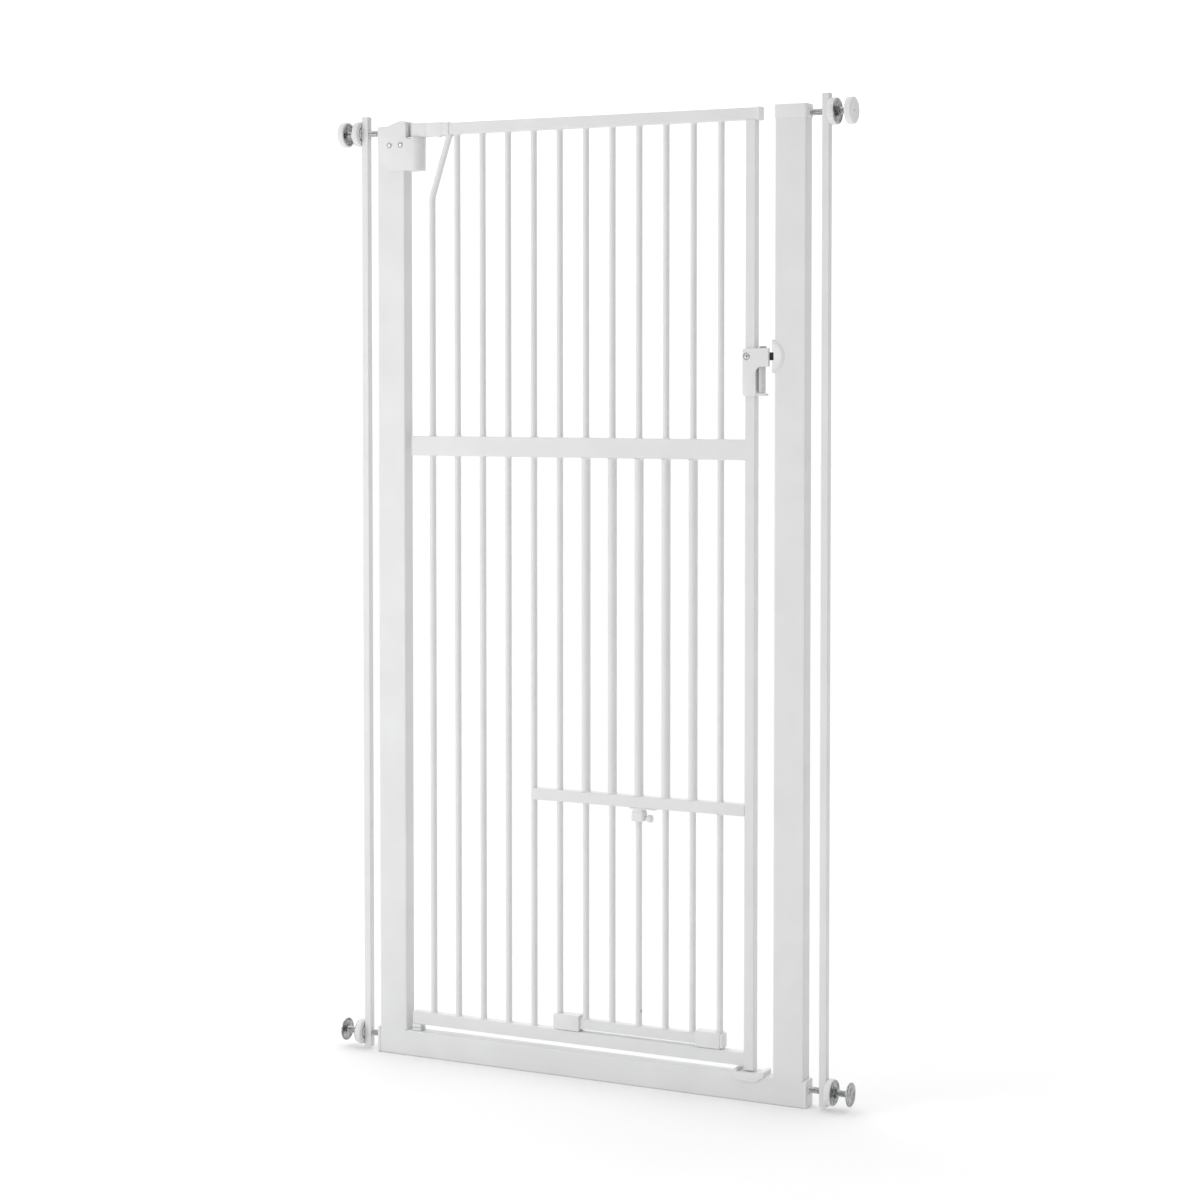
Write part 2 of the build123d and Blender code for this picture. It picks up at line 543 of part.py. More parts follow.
def make_pad_disc(z, inner_x):
    disc = rod_x(inner_x, inner_x + PAD_DISC_THICKNESS, z, PAD_DISC_RADIUS)
    disc = fillet(disc.edges().filter_by(GeomType.CIRCLE), PAD_DISC_THICKNESS / 5)
    return disc - rod_x(inner_x, inner_x + PAD_DISC_THICKNESS / 2, z, SPINDLE_RADIUS / 2)


def make_pad_cover(z, disc_inner_x):
    """A soft cover that grips the pad disc by a lip behind it."""
    back = disc_inner_x - PAD_COVER_LIP
    cover = rod_x(back, PAD_FACE_X, z, PAD_COVER_RADIUS)
    cover = fillet(cover.edges().filter_by(GeomType.CIRCLE).sort_by(Axis.X)[-1], PAD_COVER_FRONT / 3)
    cover -= rod_x(disc_inner_x, disc_inner_x + PAD_DISC_THICKNESS, z, PAD_DISC_RADIUS)
    cover -= rod_x(back, disc_inner_x, z, PAD_DISC_RADIUS - PAD_COVER_LIP)
    return cover - rod_x(PAD_FACE_X - PAD_COVER_FRONT, PAD_FACE_X, z, PAD_COVER_HOLE_RADIUS)


def make_wheel(z):
    """The hand wheel of a spindle nut: a thick disc with finger grooves round its rim."""
    wheel = rod_x(WHEEL_INNER_X, WHEEL_OUTER_X, z, WHEEL_RADIUS)
    wheel = fillet(wheel.edges().filter_by(GeomType.CIRCLE), WHEEL_EDGE_RADIUS)
    reach = WHEEL_RADIUS + WHEEL_GRIP_RADIUS * 0.6
    for step in range(WHEEL_GRIP_COUNT):
        turn = 2 * math.pi * step / WHEEL_GRIP_COUNT
        y, up = reach * math.cos(turn), reach * math.sin(turn)
        groove = Pos((WHEEL_INNER_X + WHEEL_OUTER_X) / 2, y, z + up) * Rot(0, 90, 0)
        wheel -= groove * Cylinder(WHEEL_GRIP_RADIUS, 2 * WHEEL_THICKNESS)
    wheel -= rod_x(WHEEL_OUTER_X - NUT_HUB_LENGTH, WHEEL_OUTER_X, z, NUT_HUB_RADIUS)
    return wheel - rod_x(WHEEL_INNER_X, WHEEL_OUTER_X, z, SPINDLE_RADIUS + SPINDLE_CLEARANCE)


def make_flanged_nut(z):
    """The zinc nut set in the wheel: a hub inside it, a flange over its face and a hexagon outside."""
    flange_x = WHEEL_OUTER_X + NUT_FLANGE_THICKNESS
    nut = rod_x(WHEEL_OUTER_X - NUT_HUB_LENGTH, WHEEL_OUTER_X, z, NUT_HUB_RADIUS)
    nut += rod_x(WHEEL_OUTER_X, flange_x, z, NUT_FLANGE_RADIUS)
    hexagon = Plane(origin=(flange_x, 0, z), x_dir=(0, 1, 0), z_dir=(1, 0, 0)) * RegularPolygon(NUT_HEX_RADIUS, 6)
    nut += extrude(hexagon, NUT_HEX_HEIGHT)
    bore = SPINDLE_RADIUS + THREAD_CLEARANCE
    return nut - rod_x(WHEEL_OUTER_X - NUT_HUB_LENGTH, flange_x + NUT_HEX_HEIGHT, z, bore)


def export_corner(corner, z, covered, place):
    """Every piece of one corner's pressure hardware."""
    disc_x = PAD_FACE_X - PAD_DISC_THICKNESS - (PAD_COVER_FRONT if covered else 0)
    export_step(place(make_spindle(z, disc_x)), f"parts/spindle_{corner}.step")
    export_step(place(make_pad_disc(z, disc_x)), f"parts/pad_disc_{corner}.step")
    if covered:
        export_step(place(make_pad_cover(z, disc_x)), f"parts/pad_cover_{corner}.step")
    export_step(place(make_wheel(z)), f"parts/wheel_{corner}.step")
    export_step(place(make_flanged_nut(z)), f"parts/wheel_nut_{corner}.step")


# ---- Door ----
def make_door_rail(z0, z1, x0, x1):
    return tube_along_x(x0, x1, DOOR_DEPTH, z0, z1, DOOR_WALL, DOOR_EDGE_RADIUS)


def make_top_rail():
    left = HINGE_X + HINGE_PLUG_REACH
    return make_door_rail(TOP_RAIL_Z, TOP_RAIL_TOP, left, STILE_RIGHT_X + TOP_RAIL_PAST_STILE)


def make_mid_rail():
    return make_door_rail(MID_RAIL_Z, MID_RAIL_TOP, RAIL_LEFT_X + PLUG_THICKNESS, STILE_LEFT_X)


def make_low_rail():
    rail = make_door_rail(LOW_RAIL_Z, LOW_RAIL_TOP, RAIL_LEFT_X + PLUG_THICKNESS, STILE_LEFT_X)
    return rail - rod_z(HINGE_X, LOW_RAIL_Z, LOW_RAIL_Z + DOOR_WALL, LOW_SPIGOT_RADIUS)


def make_latch_stile():
    stile = tube_along_z(STILE_LEFT_X, STILE_RIGHT_X, DOOR_DEPTH, STILE_FOOT_Z + PLUG_THICKNESS, TOP_RAIL_Z,
                         DOOR_WALL, DOOR_EDGE_RADIUS)
    x, z = STILE_LEFT_X + LATCH_SCREW_FROM_STILE, LATCH_Z
    return stile - rod_y(x, -DOOR_DEPTH, DOOR_DEPTH, z, SCREW_RADIUS + SCREW_CLEARANCE / 2)


def rail_plug(z0, z1, outer_x, inner_x, reach):
    """An end plug of a door rail: a cover plate and a stem inside the tube."""
    low, high = min(outer_x, inner_x), max(outer_x, inner_x)
    plate = bar_along_x(low, high, DOOR_DEPTH, z0, z1, DOOR_EDGE_RADIUS)
    end = inner_x + math.copysign(reach, inner_x - outer_x)
    stem = bar_along_x(min(inner_x, end), max(inner_x, end), DOOR_DEPTH - 2 * DOOR_WALL, z0 + DOOR_WALL,
                       z1 - DOOR_WALL, DOOR_EDGE_RADIUS / 4)
    return plate + stem


def make_end_plugs():
    """Plugs in the hinge-side ends of the two long rails, and the foot of the stile."""
    inner = RAIL_LEFT_X + PLUG_THICKNESS
    mid = rail_plug(MID_RAIL_Z, MID_RAIL_TOP, RAIL_LEFT_X, inner, PLUG_INSERT)
    low = rail_plug(LOW_RAIL_Z, LOW_RAIL_TOP, RAIL_LEFT_X, inner, PLUG_INSERT)
    collar_z = BOTTOM_RAIL_HEIGHT + LOW_BRACKET_THICKNESS + LOW_COLLAR_GAP
    low += rod_z(HINGE_X, collar_z, LOW_RAIL_Z, LOW_COLLAR_RADIUS)
    low += rod_z(HINGE_X, LOW_RAIL_Z, LOW_RAIL_Z + DOOR_WALL, LOW_SPIGOT_RADIUS)
    low -= rod_z(HINGE_X, collar_z, LOW_RAIL_TOP - DOOR_WALL, HINGE_PIN_RADIUS + HINGE_CLEARANCE)
    top = STILE_FOOT_Z + PLUG_THICKNESS
    foot = bar_along_z(STILE_LEFT_X, STILE_RIGHT_X, DOOR_DEPTH, STILE_FOOT_Z, top, DOOR_EDGE_RADIUS)
    foot += bar_along_z(STILE_LEFT_X + DOOR_WALL, STILE_RIGHT_X - DOOR_WALL, DOOR_DEPTH - 2 * DOOR_WALL,
                        top, top + PLUG_INSERT, DOOR_EDGE_RADIUS / 4)
    return group([mid, low, foot])


def make_top_rail_cap():
    """A cap on the latch-side end of the top rail, a little larger than the tube."""
    rail_end = STILE_RIGHT_X + TOP_RAIL_PAST_STILE
    cap = bar_along_x(rail_end, rail_end + TOP_RAIL_CAP, DOOR_DEPTH + 2, TOP_RAIL_Z - 1, TOP_RAIL_TOP + 1,
                      DOOR_EDGE_RADIUS + 1)
    cap = fillet(cap.faces().sort_by(Axis.X)[-1].edges(), DOOR_EDGE_RADIUS / 2)
    stem = bar_along_x(rail_end - PLUG_INSERT, rail_end, DOOR_DEPTH - 2 * DOOR_WALL, TOP_RAIL_Z + DOOR_WALL,
                       TOP_RAIL_TOP - DOOR_WALL, DOOR_EDGE_RADIUS / 4)
    return cap + stem


def make_hinge_plug():
    """The moulded knuckle on the hinge end of the top rail; it holds the upper hinge pin."""
    z0, z1 = PLUG_BOTTOM_Z, TOP_RAIL_TOP + HINGE_PLUG_PROUD
    rail_end = HINGE_X + HINGE_PLUG_REACH
    half = HINGE_PLUG_HALF_DEPTH
    knuckle = rod_z(HINGE_X, z0, z1, half) + block(HINGE_X, rail_end, -half, half, z0, z1)
    knuckle = fillet(knuckle.faces().sort_by(Axis.Z)[-1].edges(), HINGE_COLLAR_PROUD)
    collar_end = rail_end + HINGE_COLLAR_LENGTH
    proud = HINGE_COLLAR_PROUD
    collar = bar_along_x(rail_end, collar_end, DOOR_DEPTH + 2 * proud, TOP_RAIL_Z - proud, TOP_RAIL_TOP + proud,
                         DOOR_EDGE_RADIUS + proud)
    collar -= bar_along_x(rail_end, collar_end, DOOR_DEPTH, TOP_RAIL_Z, TOP_RAIL_TOP, DOOR_EDGE_RADIUS)
    stem = bar_along_x(rail_end, collar_end, DOOR_DEPTH - 2 * DOOR_WALL, TOP_RAIL_Z + DOOR_WALL,
                       TOP_RAIL_TOP - DOOR_WALL, DOOR_EDGE_RADIUS / 4)
    plug = knuckle + collar + stem
    plug -= make_bent_bar(0)
    plug -= rod_z(HINGE_X, z0, z0 + HINGE_PIN_GRIP, HINGE_PIN_RADIUS)
    return plug - rod_z(HINGE_X + PLUG_SCREW_FROM_AXIS, z0, z0 + PLUG_INSERT, SCREW_RADIUS)


def make_hinge_pin():
    top = PLUG_BOTTOM_Z + HINGE_PIN_GRIP
    pin = rod_z(HINGE_X, top - HINGE_PIN_LENGTH, top, HINGE_PIN_RADIUS)
    return chamfer(pin.edges().filter_by(GeomType.CIRCLE).sort_by(Axis.Z)[0], 1.0)


def make_bar(index, z0, z1):
    """A straight door bar, a round tube."""
    return rod_z(bar_x(index), z0, z1, BAR_RADIUS) - rod_z(bar_x(index), z0, z1, BAR_RADIUS - BAR_WALL)


def fixed_low_bars():
    """The bars below the middle rail that don't belong to the pet door."""
    return [index for index in range(BAR_COUNT) if not PET_FIRST_BAR <= index <= PET_LAST_BAR]


def make_low_bars(indices):
    return group([make_bar(index, LOW_RAIL_TOP, MID_RAIL_Z) for index in indices])


def make_bent_bar(bore_radius):
    """The first upper bar, which slants away from the hinge near its top; solid if it has no bore."""
    x = bar_x(0)
    bend_z = TOP_RAIL_Z - BENT_BAR_RISE
    over = BAR_DIAMETER
    slope = BENT_BAR_SHIFT / BENT_BAR_RISE
    path = FilletPolyline((x, 0, MID_RAIL_TOP), (x, 0, bend_z),
                          (x + BENT_BAR_SHIFT + slope * over, 0, TOP_RAIL_Z + over), radius=BENT_BAR_BEND_RADIUS)
    start = Plane(origin=path @ 0, z_dir=path % 0)
    bar = sweep(start * Circle(BAR_RADIUS), path=path)
    if bore_radius:
        bar -= sweep(start * Circle(bore_radius), path=path)
    return bar - block(x - over, x + 2 * BENT_BAR_SHIFT, -over, over, TOP_RAIL_Z, TOP_RAIL_Z + 3 * over)


def pet_bars_range():
    return range(PET_FIRST_BAR, PET_LAST_BAR + 1)


def make_guide_tubes():
    """The tubes above the pet rail that take the pet door's bars as it lifts."""
    tubes = []
    for index in pet_bars_range():
        tube = rod_z(bar_x(index), PET_RAIL_TOP, MID_RAIL_Z, GUIDE_TUBE_DIAMETER / 2)
        tubes.append(tube - rod_z(bar_x(index), PET_RAIL_TOP, MID_RAIL_Z, PET_BORE_RADIUS))
    return group(tubes)


def make_pet_rail():
    """The rail over the pet doorway, from a fixed bar to the stile, bored for the sliding bars."""
    rail = make_door_rail(PET_RAIL_Z, PET_RAIL_TOP, bar_x(PET_FIRST_BAR - 2), STILE_LEFT_X)
    for index in fixed_low_bars():
        rail -= rod_z(bar_x(index), PET_RAIL_Z, PET_RAIL_TOP, BAR_RADIUS)
    for index in pet_bars_range():
        rail -= rod_z(bar_x(index), PET_RAIL_Z, PET_RAIL_TOP, PET_BORE_RADIUS)
    return max(rail.solids(), key=lambda solid: solid.volume)


# ---- Pet door ----
def make_pet_bars():
    """The sliding bars; the locked one has a hole for the pin at each end of its travel."""
    bars = []
    for index in pet_bars_range():
        bar = make_bar(index, PET_LOW_RAIL_TOP, PET_LOW_RAIL_TOP + PET_BAR_LENGTH)
        if index == LOCK_BAR:
            surface = bar_x(index) + BAR_RADIUS
            for z in (lock_z(), lock_z() - PET_LIFT):
                bar -= rod_x(surface - LOCK_HOLE_DEPTH, surface, z, LOCK_PIN_RADIUS + PET_BAR_CLEARANCE)
        bars.append(bar)
    return group(bars)


def sleeve_ends(side):
    """Outer and inner X of the sleeve at the hinge side (-1) or the latch side (1) of the pet door."""
    bar = bar_x(PET_FIRST_BAR - 1) if side < 0 else bar_x(PET_LAST_BAR + 1)
    outer = bar + side * (PET_BORE_RADIUS + SLEEVE_END_WALL)
    return bar, outer, outer - side * SLEEVE_LENGTH


def make_pet_low_rail():
    x0 = sleeve_ends(-1)[2] - SLEEVE_INSERTION
    x1 = sleeve_ends(1)[2] + SLEEVE_INSERTION
    return tube_along_x(x0, x1, PET_LOW_RAIL_DEPTH, PET_LOW_RAIL_Z, PET_LOW_RAIL_TOP, DOOR_WALL,
                        DOOR_EDGE_RADIUS)


def make_sleeve(side):
    """A plastic sleeve that holds one end of the pet door's rail and slides on a fixed bar."""
    bar, outer, inner = sleeve_ends(side)
    z0 = LOW_RAIL_TOP + SLEEVE_REST_GAP
    x0, x1 = min(outer, inner), max(outer, inner)
    sleeve = bar_along_x(x0, x1, 2 * SLEEVE_HALF_DEPTH, z0, z0 + SLEEVE_HEIGHT, DOOR_EDGE_RADIUS)
    end_face = sleeve.faces().sort_by(Axis.X)[0 if side < 0 else -1]
    sleeve = fillet(end_face.edges().filter_by(Axis.Z), SLEEVE_END_WALL)
    pocket = inner - side * 1.0
    seat = inner + side * SLEEVE_INSERTION
    sleeve -= bar_along_x(min(pocket, seat), max(pocket, seat), PET_LOW_RAIL_DEPTH, PET_LOW_RAIL_Z,
                          PET_LOW_RAIL_TOP, DOOR_EDGE_RADIUS)
    return sleeve - rod_z(bar, z0, z0 + SLEEVE_HEIGHT, PET_BORE_RADIUS)


# ---- Pet lock ----
def lock_z():
    return PET_RAIL_Z - LOCK_PIN_DROP


def make_pet_lock_body():
    """A collar under the pet rail, round the middle bar, with a bore for the locking pin."""
    x = bar_x(LOCK_BAR)
    top = PET_RAIL_Z - LOCK_FLANGE_THICKNESS
    body = block(x - LOCK_BODY_LEFT, x + LOCK_BODY_RIGHT, -LOCK_HALF_DEPTH, LOCK_HALF_DEPTH,
                 top - LOCK_BODY_HEIGHT, top)
    body = fillet(body.edges().filter_by(Axis.Z), LOCK_HALF_DEPTH / 2)
    body = fillet(body.faces().sort_by(Axis.Z)[0].edges(), LOCK_HALF_DEPTH / 4)
    flange = block(x - LOCK_FLANGE_LEFT, x + LOCK_FLANGE_RIGHT, -DOOR_DEPTH / 2, DOOR_DEPTH / 2, top, PET_RAIL_Z)
    body += fillet(flange.edges().filter_by(Axis.Z), LOCK_FLANGE_THICKNESS)
    body -= rod_z(x, top - LOCK_BODY_HEIGHT, PET_RAIL_Z, PET_BORE_RADIUS)
    for bar in pet_bars_range():
        body -= rod_z(bar_x(bar), top, PET_RAIL_Z, PET_BORE_RADIUS)
    return body - rod_x(x, x + LOCK_BODY_RIGHT, lock_z(), LOCK_PIN_RADIUS + PET_BAR_CLEARANCE)


def make_pet_lock_knob():
    """The locking pin and its round knob, drawn out."""
    body_face = bar_x(LOCK_BAR) + LOCK_BODY_RIGHT
    head_x = body_face + LOCK_KNOB_GAP
    tip = bar_x(LOCK_BAR) + BAR_RADIUS + LOCK_PIN_REST_GAP
    head = rod_x(head_x, head_x + LOCK_KNOB_THICKNESS, lock_z(), LOCK_KNOB_RADIUS)
    head = fillet(head.edges().filter_by(GeomType.CIRCLE), LOCK_KNOB_THICKNESS / 5)
    return head + rod_x(tip, head_x, lock_z(), LOCK_PIN_RADIUS)


# ---- Latch ----
def make_latch_outline():
    """The head, the grip round the stile and the lip under the trigger, as one block."""
    left = STILE_LEFT_X - LATCH_WALL
    head_top, head_bottom = LATCH_Z + LATCH_HEAD_ABOVE, LATCH_Z - LATCH_HEAD_BELOW
    foot = head_bottom - LATCH_GRIP_LENGTH
    half = LATCH_HALF_DEPTH
    radius = LATCH_CORNER_RADIUS
    head = block(left, LATCH_HEAD_X, -half, half, head_bottom, head_top)
    head = fillet(head.edges().filter_by(Axis.Y), radius)
    grip = block(left, GRIP_RIGHT_X, -half, half, foot, head_top - radius)
    grip = fillet(grip.edges().filter_by(Axis.Y).sort_by(Axis.Z)[:2].sort_by(Axis.X)[0], radius)
    lip = block(STILE_RIGHT_X, STILE_RIGHT_X + LATCH_LIP_REACH, -half + radius, half - radius, foot,
                foot + LATCH_LIP_HEIGHT)
    lip = fillet(lip.edges().filter_by(Axis.Z).sort_by(Axis.X)[2:], radius)
    return head + grip + lip


def make_latch_shells():
    """The front and back shell of the latch, hollow in the head and clamped round the stile."""
    shell = make_latch_outline()
    head_top, head_bottom = LATCH_Z + LATCH_HEAD_ABOVE, LATCH_Z - LATCH_HEAD_BELOW
    shell -= block(STILE_LEFT_X, STILE_RIGHT_X, -DOOR_DEPTH / 2, DOOR_DEPTH / 2, 0, TOP_RAIL_Z)
    inner_half = LATCH_HALF_DEPTH - LATCH_WALL
    shell -= block(GRIP_RIGHT_X, LATCH_HEAD_X - LATCH_WALL, -inner_half, inner_half,
                   head_bottom + LATCH_WALL, head_top - LATCH_WALL)
    shell -= block(LATCH_HEAD_X - 2 * LATCH_WALL, LATCH_HEAD_X, -BOLT_DEPTH / 2 - LATCH_FIT,
                   BOLT_DEPTH / 2 + LATCH_FIT, LATCH_Z - BOLT_HEIGHT / 2 - LATCH_FIT,
                   LATCH_Z + BOLT_HEIGHT / 2 + LATCH_FIT)
    shell -= block(TRIGGER_X - TRIGGER_TRAVEL - LATCH_FIT, TRIGGER_X + TRIGGER_WIDTH + LATCH_FIT,
                   -TRIGGER_HALF_DEPTH - LATCH_FIT, TRIGGER_HALF_DEPTH + LATCH_FIT,
                   head_bottom, head_bottom + 2 * LATCH_WALL)
    bx, half_length, half_width = button_place()
    shell -= block(bx - half_length - LATCH_FIT, bx + half_length + LATCH_FIT, -half_width - LATCH_FIT,
                   half_width + LATCH_FIT, head_top - 2 * LATCH_WALL, head_top)
    screw_x = STILE_LEFT_X + LATCH_SCREW_FROM_STILE
    shell -= rod_y(screw_x, -LATCH_HALF_DEPTH, LATCH_HALF_DEPTH - LATCH_WALL / 2, LATCH_Z, SCREW_RADIUS)
    front_half = block(0, FRAME_WIDTH, -FRAME_WIDTH, 0, 0, FRAME_HEIGHT)
    return shell & front_half, shell - front_half


def button_place():
    """Centre X, half length and half width of the button on the latch head."""
    return STILE_RIGHT_X + LATCH_HEAD_REACH * 0.385, BUTTON_LENGTH / 2, BUTTON_DEPTH / 2


def make_latch_trigger():
    """The squeeze bar and the block above it that carries the bolt."""
    foot = LATCH_Z - LATCH_HEAD_BELOW - LATCH_GRIP_LENGTH + LATCH_LIP_HEIGHT + LATCH_FIT
    half = TRIGGER_HALF_DEPTH
    top = LATCH_Z + BOLT_HEIGHT / 2
    bar = block(TRIGGER_X, TRIGGER_X + TRIGGER_WIDTH, -half, half, foot, top)
    bar = fillet(bar.edges().filter_by(Axis.Z), 1.0)
    bolt_half = BOLT_DEPTH / 2
    return bar - block(TRIGGER_X, TRIGGER_X + TRIGGER_WIDTH, -bolt_half, bolt_half,
                       LATCH_Z - BOLT_HEIGHT / 2, top)


def make_latch_bolt():
    bolt = block(TRIGGER_X, BOLT_TIP_X, -BOLT_DEPTH / 2, BOLT_DEPTH / 2, LATCH_Z - BOLT_HEIGHT / 2,
                 LATCH_Z + BOLT_HEIGHT / 2)
    nose = bolt.faces().sort_by(Axis.X)[-1].edges().filter_by(Axis.Z)
    return chamfer(nose, 1.5)


def make_latch_button():
    """The release button, held in by a flange under the head's top wall."""
    bx, half_length, half_width = button_place()
    head_top = LATCH_Z + LATCH_HEAD_ABOVE
    ceiling = head_top - LATCH_WALL
    cap = block(bx - half_length, bx + half_length, -half_width, half_width, ceiling, head_top + BUTTON_PROUD)
    cap = fillet(cap.faces().sort_by(Axis.Z)[-1].edges(), BUTTON_PROUD / 4)
    flange = block(bx - half_length - BUTTON_FLANGE, bx + half_length + BUTTON_FLANGE,
                   -half_width - BUTTON_FLANGE, half_width + BUTTON_FLANGE, ceiling - BUTTON_FLANGE, ceiling)
    return cap + flange


def make_door_screws():
    """The latch's cross-head screw and the plug's screw under the top rail."""
    latch = make_cross_screw(STILE_LEFT_X + LATCH_SCREW_FROM_STILE, -LATCH_HALF_DEPTH, LATCH_Z,
                             LATCH_HALF_DEPTH - LATCH_WALL / 2, LATCH_SCREW_HEAD_RADIUS)
    x = HINGE_X + PLUG_SCREW_FROM_AXIS
    plug = rod_z(x, PLUG_BOTTOM_Z - SCREW_HEAD_HEIGHT, PLUG_BOTTOM_Z, SCREW_HEAD_RADIUS * 0.8)
    plug += rod_z(x, PLUG_BOTTOM_Z, PLUG_BOTTOM_Z + PLUG_INSERT, SCREW_RADIUS)
    return group([latch, plug])


def main():
    os.makedirs("parts", exist_ok=True)
    housing_front, housing_back = make_housing_shells()
    latch_front, latch_back = make_latch_shells()
    end_cap = make_end_cap()
    side_bar = make_side_bar()
    plugs = make_side_bar_plugs()
    nodes = {
        "left_upright": make_left_upright(),
        "right_upright": make_right_upright(),
        "bottom_rail": make_bottom_rail(),
        "rail_end_caps": group([end_cap, mirrored(end_cap)]),
        "upright_top_cap": make_top_cap(),
        "spindle_bushes": make_spindle_bushes(),
        "hinge_housing_front": housing_front,
        "hinge_housing_back": housing_back,
        "hinge_bush": make_hinge_bush(),
        "housing_screws": make_housing_screws(),
        "lower_hinge_bracket": make_lower_hinge_bracket(),
        "latch_strike": make_latch_strike(),
        "floor_catch": make_floor_catch(),
        "side_bar_right": side_bar,
        "side_bar_left": mirrored(side_bar),
        "side_bar_plugs_right": plugs,
        "side_bar_plugs_left": group([mirrored(plugs)]),
        "top_rail": make_top_rail(),
        "mid_rail": make_mid_rail(),
        "low_rail": make_low_rail(),
        "latch_stile": make_latch_stile(),
        "end_plugs": make_end_plugs(),
        "top_rail_cap": make_top_rail_cap(),
        "hinge_plug": make_hinge_plug(),
        "hinge_pin": make_hinge_pin(),
        "bent_bar": make_bent_bar(BAR_RADIUS - BAR_WALL),
        "upper_bars": group([make_bar(index, MID_RAIL_TOP, TOP_RAIL_Z) for index in range(1, BAR_COUNT)]),
        "lower_bars": make_low_bars(fixed_low_bars()[:-1]),
        "latch_side_bar": make_low_bars(fixed_low_bars()[-1:]),
        "guide_tubes": make_guide_tubes(),
        "pet_rail": make_pet_rail(),
        "pet_bars": make_pet_bars(),
        "pet_low_rail": make_pet_low_rail(),
        "pet_sleeves": group([make_sleeve(-1), make_sleeve(1)]),
        "pet_lock_body": make_pet_lock_body(),
        "pet_lock_knob": make_pet_lock_knob(),
        "latch_shell_front": latch_front,
        "latch_shell_back": latch_back,
        "latch_trigger": make_latch_trigger(),
        "latch_bolt": make_latch_bolt(),
        "latch_button": make_latch_button(),
        "door_screws": make_door_screws(),
    }
    for name, shape in nodes.items():
        export_step(shape, f"parts/{name}.step")
    for side, place in (("left", mirrored), ("right", lambda shape: shape)):
        export_corner(f"top_{side}", SPINDLE_TOP_Z, True, place)
        export_corner(f"low_{side}", SPINDLE_LOW_Z, False, place)


main()
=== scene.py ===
import math

import bmesh
import bpy
from mathutils import Matrix, Vector


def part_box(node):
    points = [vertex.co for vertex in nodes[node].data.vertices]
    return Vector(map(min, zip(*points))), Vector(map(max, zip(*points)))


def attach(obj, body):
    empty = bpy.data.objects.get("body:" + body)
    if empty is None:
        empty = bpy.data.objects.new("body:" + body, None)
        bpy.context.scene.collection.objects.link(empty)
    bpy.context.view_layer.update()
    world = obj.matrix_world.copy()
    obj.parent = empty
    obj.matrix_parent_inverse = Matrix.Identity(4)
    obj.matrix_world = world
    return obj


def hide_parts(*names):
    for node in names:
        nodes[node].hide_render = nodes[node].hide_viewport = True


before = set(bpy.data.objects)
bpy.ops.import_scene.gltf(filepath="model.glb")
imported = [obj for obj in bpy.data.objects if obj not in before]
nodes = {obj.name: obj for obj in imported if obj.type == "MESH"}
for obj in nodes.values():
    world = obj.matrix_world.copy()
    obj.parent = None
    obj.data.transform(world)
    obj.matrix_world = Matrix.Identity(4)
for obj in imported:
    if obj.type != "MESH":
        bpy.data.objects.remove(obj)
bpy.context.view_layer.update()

# Shapes are written in millimetres, in the row frame, and scaled once when a mesh is made.
MM = 0.001
scene = bpy.context.scene


def span(node, axis):
    """Lowest and highest place of a CAD node along one axis, in millimetres."""
    low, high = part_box(node)
    index = "XYZ".index(axis)
    return low[index] / MM, high[index] / MM


# ---------------------------------------------------------------- materials
def new_material(name):
    material = bpy.data.materials.new(name)
    material.use_nodes = True
    tree = material.node_tree
    tree.nodes.clear()
    output = tree.nodes.new("ShaderNodeOutputMaterial")
    shader = tree.nodes.new("ShaderNodeBsdfPrincipled")
    tree.links.new(shader.outputs["BSDF"], output.inputs["Surface"])
    coords = tree.nodes.new("ShaderNodeTexCoord")
    return material, tree, shader, coords.outputs["Object"]


NOISE_LOW, NOISE_HIGH = 0.3, 0.7     # most of a noise texture's values lie between these


def noise(tree, place, scale, detail=2.0, stretch=None):
    """A noise texture in the row frame; stretch squeezes it along each axis."""
    if stretch:
        mapping = tree.nodes.new("ShaderNodeMapping")
        mapping.inputs["Scale"].default_value = stretch
        tree.links.new(place, mapping.inputs["Vector"])
        place = mapping.outputs["Vector"]
    texture = tree.nodes.new("ShaderNodeTexNoise")
    texture.inputs["Scale"].default_value = scale
    texture.inputs["Detail"].default_value = detail
    tree.links.new(place, texture.inputs["Vector"])
    return texture.outputs["Fac"]


def ramp(tree, value, low, high):
    node = tree.nodes.new("ShaderNodeValToRGB")
    node.color_ramp.elements[0].position = NOISE_LOW
    node.color_ramp.elements[1].position = NOISE_HIGH
    node.color_ramp.elements[0].color = (*low, 1.0)
    node.color_ramp.elements[1].color = (*high, 1.0)
    tree.links.new(value, node.inputs["Fac"])
    return node.outputs["Color"]


def spread(tree, value, low, high):
    node = tree.nodes.new("ShaderNodeMapRange")
    node.inputs["From Min"].default_value = NOISE_LOW
    node.inputs["From Max"].default_value = NOISE_HIGH
    node.inputs["To Min"].default_value = low
    node.inputs["To Max"].default_value = high
    tree.links.new(value, node.inputs["Value"])
    return node.outputs["Result"]


def bump(tree, height, strength, distance, before=None):
    node = tree.nodes.new("ShaderNodeBump")
    node.inputs["Strength"].default_value = strength
    node.inputs["Distance"].default_value = distance
    tree.links.new(height, node.inputs["Height"])
    if before:
        tree.links.new(before, node.inputs["Normal"])
    return node.outputs["Normal"]


